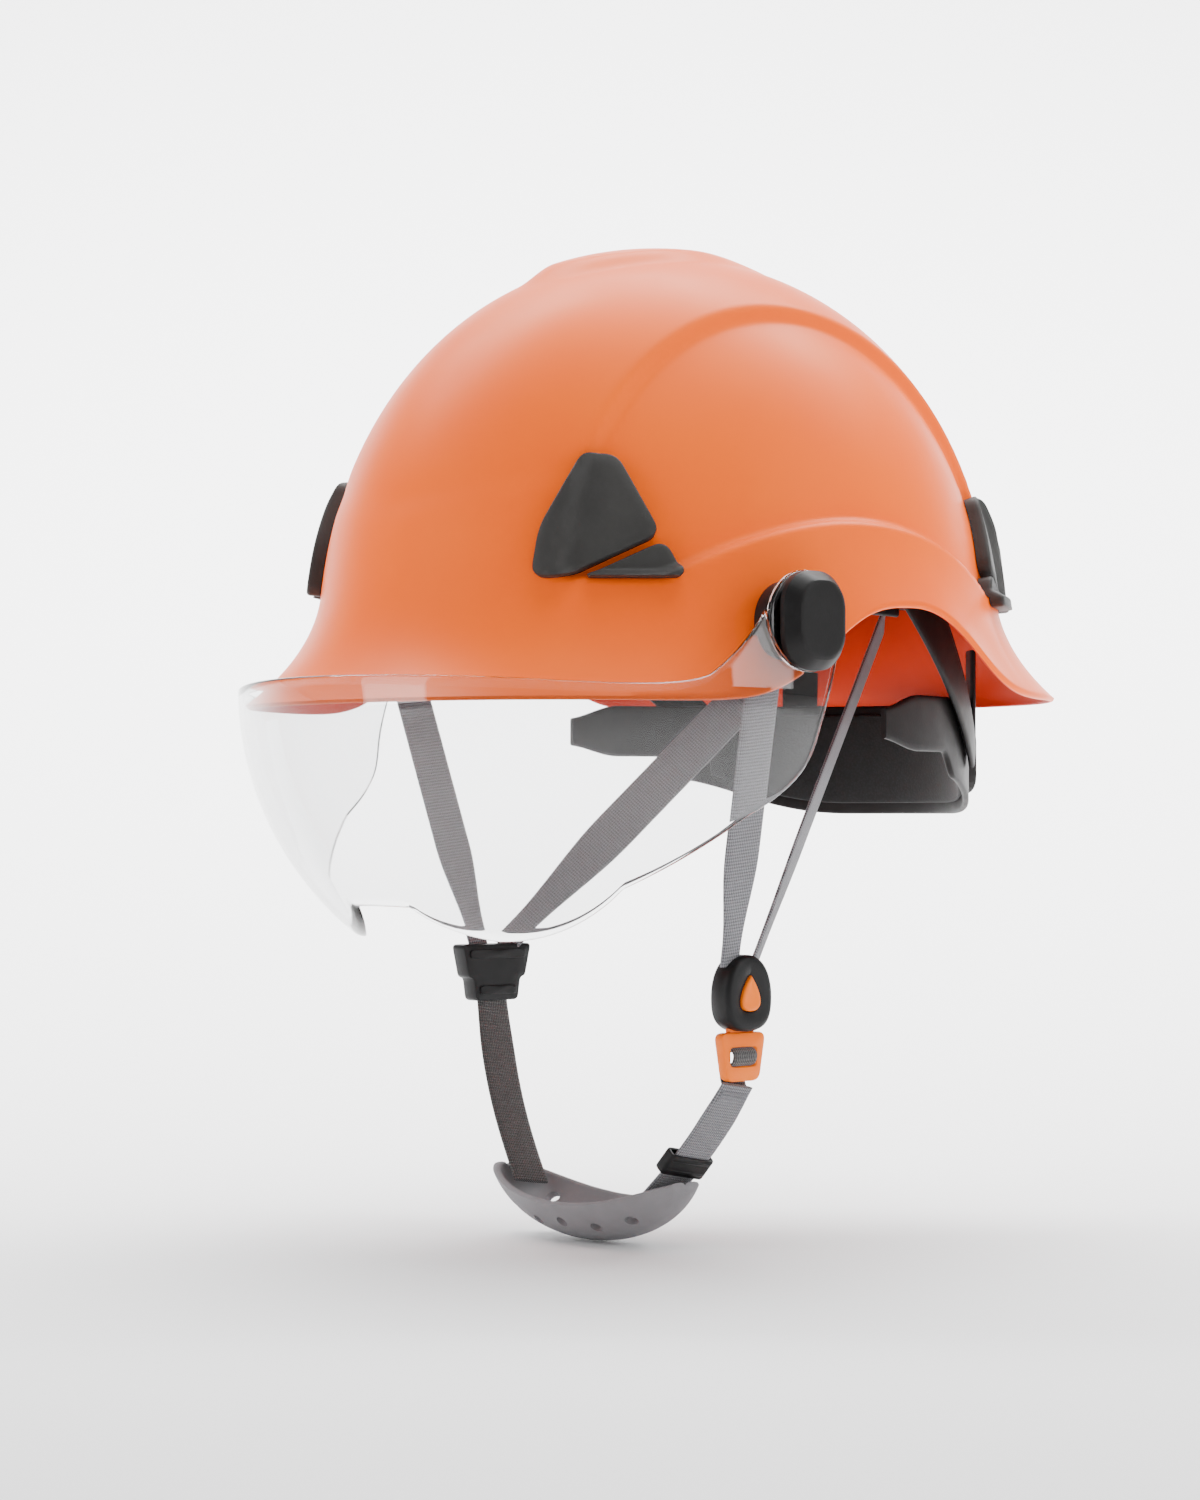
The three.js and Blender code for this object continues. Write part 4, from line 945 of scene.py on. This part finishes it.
def build_cup():
    """The chin cup: a bowl cut by a wide arc, with a rounded rim and two rows of holes."""
    half_x, half_y, half_z = 50.0, 22.0, 30.0
    tip_z, sag, y0, wall = -156.0, 9.0, -28.0, 2.6
    zc = tip_z + 8
    radius = (46**2 + sag**2) / (2 * sag)

    def rim_height(x):
        return tip_z - sag + radius - math.sqrt(radius**2 - x * x)

    def bowl_point(u, v, inset):
        """u runs from tip to tip, v from one rim (-1) through the bottom (0) to the other rim (1)."""
        a, b, c = half_x - inset, half_y - inset, half_z - inset
        x = 46.3 * math.sin(u * math.pi / 2)
        level = math.sqrt(max(1 - (x / max(a, 47)) ** 2, 0.004))
        drop = (zc - rim_height(x)) / (c * level)
        limit = max(math.acos(min(max(drop, -1), 1)), 0.06)
        swing = v * limit
        z = min(zc - c * level * math.cos(swing), rim_height(x))
        return Vector((x, y0 + b * level * math.sin(swing), z))

    def lip_points(a, b, steps=5):
        """The rounded edge from point a over to point b."""
        made = []
        for k in range(1, steps):
            swing = math.pi * k / steps
            made.append((a + b) / 2 + (a - b) / 2 * math.cos(swing) + Vector((0, 0, 0.9 * math.sin(swing))))
        return made

    rings = []
    n_u, n_v = 120, 48
    for a in range(n_u + 1):
        u = -1 + 2 * a / n_u
        ring = [bowl_point(u, -1 + 2 * k / n_v, 0) for k in range(n_v + 1)]
        inner = [bowl_point(u, 1 - 2 * k / n_v, wall) for k in range(n_v + 1)]
        rings.append(ring + lip_points(ring[-1], inner[0]) + inner + lip_points(inner[-1], ring[0]))
    cup = skin_rings("chin_cup_bowl", rings, RUBBER_GREY, angle=60)
    points, faces = [], []
    for side in (-1, 1):
        axis = Vector((0, math.cos(0.75), -side * math.sin(0.75)))
        flank = Vector((1, 0, 0)).cross(axis)
        for x in (-30, -15, 0, 15, 30):
            aside = 14 - abs(x) * 0.16
            level = 1 - (x / half_x) ** 2 - (aside / half_y) ** 2
            centre = Vector((x, y0 + side * aside, zc - half_z * math.sqrt(level)))
            first = len(points)
            for end in (-8, 8):
                for k in range(32):
                    turn = 2 * math.pi * k / 32
                    ring_point = Vector((1, 0, 0)) * math.cos(turn) + flank * math.sin(turn)
                    points.append(centre + axis * end + ring_point * 2.2)
            for k in range(32):
                n = (k + 1) % 32
                faces.append((first + k, first + n, first + 32 + n, first + 32 + k))
            faces.append(tuple(first + k for k in range(32))[::-1])
            faces.append(tuple(first + 32 + k for k in range(32)))
    cutter = mesh_piece("cup_drill", points, faces, RUBBER_GREY)
    cut = cup.modifiers.new("holes", "BOOLEAN")
    cut.object = cutter
    cut.solver = "EXACT"
    bpy.context.view_layer.objects.active = cup
    bpy.ops.object.modifier_apply(modifier="holes")
    bpy.data.objects.remove(cutter)
    cup.data.set_sharp_from_angle(angle=math.radians(45))
    declare(cup, "chin", "rubber_grey", "chin_cup")


# ---- head ring -------------------------------------------------------------
def strip_rings(half_width, half_length, centre_y, wall, turns, low, high, edge, crown=0.0):
    """Rings of a curved strip of even wall with rounded edges; crown swells its middle inwards."""
    rings = []
    for turn in turns:
        lo, hi = low(turn), high(turn)
        ring = []
        for k in range(13):
            t = k / 12
            z = lerp(lo + edge, hi - edge, t)
            ring.append((wall, z))
        for k in range(1, 6):
            swing = math.pi * k / 6
            ring.append((wall / 2 + wall / 2 * math.cos(swing), hi - edge + edge * math.sin(swing)))
        for k in range(13):
            t = k / 12
            z = lerp(hi - edge, lo + edge, t)
            ring.append((-crown * math.sin(math.pi * t) ** 0.6, z))
        for k in range(1, 6):
            swing = math.pi * k / 6
            ring.append((wall / 2 - wall / 2 * math.cos(swing), lo + edge - edge * math.sin(swing)))
        rings.append(
            [
                ((half_width + r) * math.cos(turn), centre_y + (half_length + r) * math.sin(turn), z)
                for r, z in ring
            ]
        )
    return rings


def band_middle(turn):
    return lerp(46, 30, smooth(-math.sin(turn), 0, 1))


def build_head_ring():
    half = BROW["half_height"]
    end = math.asin((BROW["end_y"] - BROW["centre_y"]) / BROW["half_length"])
    turns = np.linspace(-math.pi - end, end, 120)
    rings = strip_rings(
        HEAD_HALF_WIDTH, BROW["half_length"], BROW["centre_y"], BROW["wall"], turns,
        lambda t: band_middle(t) - half, lambda t: band_middle(t) + half, 0.9,
    )
    declare(skin_rings("head_band", rings, CRADLE_BLACK, angle=50), "helmet", "cradle_black", "headband")
    turns = np.linspace(-math.pi + 0.5, -0.5, 100)
    share = {t: k / 99 for k, t in enumerate(turns)}

    def pinch(turn):
        k = share[turn]
        return 1.0 + 3.2 * (1 - smooth(min(k, 1 - k), 0, 0.045))

    rings = strip_rings(
        76.5, 92.5, BROW["centre_y"], 3.2, turns,
        lambda t: band_middle(t) - half + pinch(t), lambda t: band_middle(t) + half - pinch(t),
        1.6, crown=0.9,
    )
    pad = skin_rings("sweat_band", rings, KNIT, angle=60)
    declare(pad, "helmet", "foam_dark", "sweatband")


def build_cradle():
    end = math.asin((CRADLE["end_y"] - CRADLE["centre_y"]) / CRADLE["half_length"])
    turns = np.linspace(end, math.pi - end, 160)

    def tip(turn):
        return 1 - smooth(math.sin(turn), math.sin(end) - 0.02, math.sin(end) + 0.18)

    def low(turn):
        s = math.sin(turn)
        return lerp(-13, -34, 0.4 * smooth(s, 0.47, 0.56) + 0.6 * smooth(s, 0.5, 0.95)) + 4 * tip(turn)

    rings = strip_rings(
        HEAD_HALF_WIDTH, CRADLE["half_length"], CRADLE["centre_y"], CRADLE["wall"], turns,
        low, lambda t: 6 - 5 * tip(t), 1.0,
    )
    cradle = skin_rings("nape_band", rings, CRADLE_BLACK, angle=50)
    declare(cradle, "nape", "cradle_black", "nape_cradle")
    back = turns[(turns > math.asin(0.62)) & (turns < math.pi - math.asin(0.62))]
    rings = strip_rings(
        78.2, 106.2, CRADLE["centre_y"], 1.6, back, lambda t: low(t) + 4, lambda t: 2.5, 0.8, crown=1.2
    )
    pad = skin_rings("nape_pad", rings, KNIT, angle=60)
    declare(pad, "nape", "foam_dark")


def cradle_point(sine, z, off):
    cosine = math.sqrt(1 - sine * sine)
    return Vector(((82.2 + off) * cosine, 16 + (110.2 + off) * sine, z))


def cradle_facing(sine):
    x = math.sqrt(1 - sine * sine) / HEAD_HALF_WIDTH
    return Vector((x, sine / CRADLE["half_length"], 0)).normalized()


def build_arms():
    for side_name, side in (("left", 1), ("right", -1)):
        def arm_path(v, s=side):
            p = cradle_point(lerp(0.2, 0.72, v), lerp(46, -14, v), 1.7 + 1.5 * (1 - v))
            return Vector((s * p.x, p.y, p.z))

        def arm_facing(v, s=side):
            f = cradle_facing(lerp(0.2, 0.72, v))
            return Vector((s * f.x, f.y, 0))

        arm = tape(
            "nape_arm_" + side_name, arm_path, arm_facing, lambda v: 20 * lerp(1, 0.55, v),
            CRADLE["wall"], 50, CRADLE_BLACK,
        )
        declare(arm, "nape", "cradle_black", "cradle_arm_" + side_name)
        low = cradle_point(0.86, -6, 1.7)
        facing = cradle_facing(0.86)
        hanger = tape(
            "nape_hanger_" + side_name, lambda v, s=side: Vector((s * low.x, low.y, lerp(-6, 24, v))),
            lambda v, s=side: Vector((s * facing.x, facing.y, 0)), 14, CRADLE["wall"], 20, CRADLE_BLACK,
        )
        declare(hanger, "nape", "cradle_black", "rear_hanger_" + side_name)


def ring_disc(name, loop_at, stations, material, angle):
    rings = []
    for inset, y in stations:
        rings.append([(u, y, -14 + v) for u, v in loop_at(inset)])
    return skin_rings(name, rings, material, angle=angle)


def build_knob():
    """The size knob with its grip ribs and dished face, on its spindle."""
    def wheel(inset):
        loop = []
        for k in range(144):
            turn = 2 * math.pi * k / 144
            fade = max(0, 1 - inset / 1.6)
            r = 14 - inset + 0.6 * fade * math.cos(12 * turn)
            loop.append((r * math.cos(turn), r * math.sin(turn)))
        return loop

    front = 126.2 + 9 + 0.5
    profile = [
        (3, 0), (0.9, 0), (0, 0.9), (0, 7.4), (0.5, 8.4), (1.6, 9), (3.2, 8.9), (5, 8.2), (7, 7.9), (12, 7.8),
    ]
    stations = [(inset, front + y) for inset, y in profile]
    knob = ring_disc("size_wheel", wheel, stations, PIVOT_BLACK, angle=32)
    declare(knob, "knob", "cradle_black", "size_knob")


for build in (build_keeper, build_cup, build_head_ring, build_cradle, build_arms, build_knob):
    build()


# ---- CAD nodes that stay: the anchors and the ratchet box ------------------
def dress_remaining():
    for node in NODES.values():
        node.data.materials.clear()
        node.data.materials.append(CRADLE_BLACK)
        bevel = node.modifiers.new("edges", "BEVEL")
        bevel.width = 0.0007
        bevel.segments = 3
        bevel.limit_method = "ANGLE"
        bevel.angle_limit = math.radians(35)
        node.data.shade_smooth()
        node.data.set_sharp_from_angle(angle=math.radians(40))


# ---- floor, light and camera -----------------------------------------------
AZIMUTH, ELEVATION = math.radians(49.36), math.radians(-1.09)
FOCAL_MM = 83.0
CAMERA_AWAY = 1.1916  # metres
FLOOR_GAP = 0.0005


def set_stage():
    floor_z = CAD_BOX[0][2] - FLOOR_GAP
    profile = [(-1.6, 0.0)]
    for k in range(41):
        swing = math.pi / 2 * k / 40
        profile.append((0.25 + 2.6 * math.sin(swing), 2.6 - 2.6 * math.cos(swing)))
    profile.append((2.85, 3.4))
    back = Vector((-math.sin(AZIMUTH), math.cos(AZIMUTH), 0))
    side = Vector((math.cos(AZIMUTH), math.sin(AZIMUTH), 0))
    points, faces = [], []
    for u, z in profile:
        for w in (-4, 4):
            p = back * u + side * w
            points.append((p.x / MM, p.y / MM, (floor_z + z) / MM))
    for k in range(len(profile) - 1):
        faces.append((2 * k, 2 * k + 1, 2 * k + 3, 2 * k + 2))
    paper = Finish("studio_paper", (0.93, 0.93, 0.935), 0.9)
    paper.bump(paper.noise(900, 2), "Fac", 0.00002, 0.2)
    mesh_piece("studio_floor", points, faces, paper.material, angle=60)


def area_light(name, place, target, size, power):
    lamp = bpy.data.lights.new(name, "AREA")
    lamp.shape = "RECTANGLE"
    lamp.size, lamp.size_y = size
    lamp.energy = power
    obj = bpy.data.objects.new(name, lamp)
    obj.location = place
    obj.rotation_euler = (Vector(target) - Vector(place)).to_track_quat("-Z", "Y").to_euler()
    bpy.context.scene.collection.objects.link(obj)


def set_lights():
    world = bpy.data.worlds.new("studio")
    world.use_nodes = True
    background = next(n for n in world.node_tree.nodes if n.type == "BACKGROUND")
    background.inputs["Color"].default_value = (1, 1, 1, 1)
    background.inputs["Strength"].default_value = 0.36
    bpy.context.scene.world = world
    right = Vector((math.cos(AZIMUTH), math.sin(AZIMUTH), 0))
    toward = Vector((math.sin(AZIMUTH), -math.cos(AZIMUTH), 0))
    up = Vector((0, 0, 1))
    target = (0, 0, 0.02)
    area_light("overhead", up * 1.3 + right * 0.25 + toward * 0.1, target, (1.3, 1.0), 20)
    area_light("right_side", right * 1.2 + toward * 0.7 + up * 0.5, target, (0.7, 1.1), 10)
    area_light("left_side", -right * 1.3 + toward * 0.6 + up * 0.4, target, (0.6, 1.1), 10)
    area_light("background", -toward * 0.9 + up * 1.5, -toward * 1.9 + up * 0.1, (3.0, 1.2), 210)


def set_camera():
    cos_e, sin_e = math.cos(ELEVATION), math.sin(ELEVATION)
    back = Vector((math.sin(AZIMUTH) * cos_e, -math.cos(AZIMUTH) * cos_e, sin_e))
    right = Vector((math.cos(AZIMUTH), math.sin(AZIMUTH), 0))
    up = back.cross(right)
    lens = bpy.data.cameras.new("photo_view")
    lens.lens = FOCAL_MM
    camera = bpy.data.objects.new("photo_view", lens)
    camera.location = right * -0.01906 + up * -0.0121 + back * CAMERA_AWAY
    camera.rotation_euler = (-back).to_track_quat("-Z", "Y").to_euler()
    bpy.context.scene.collection.objects.link(camera)
    bpy.context.scene.camera = camera


dress_remaining()
set_camera()
set_lights()
set_stage()
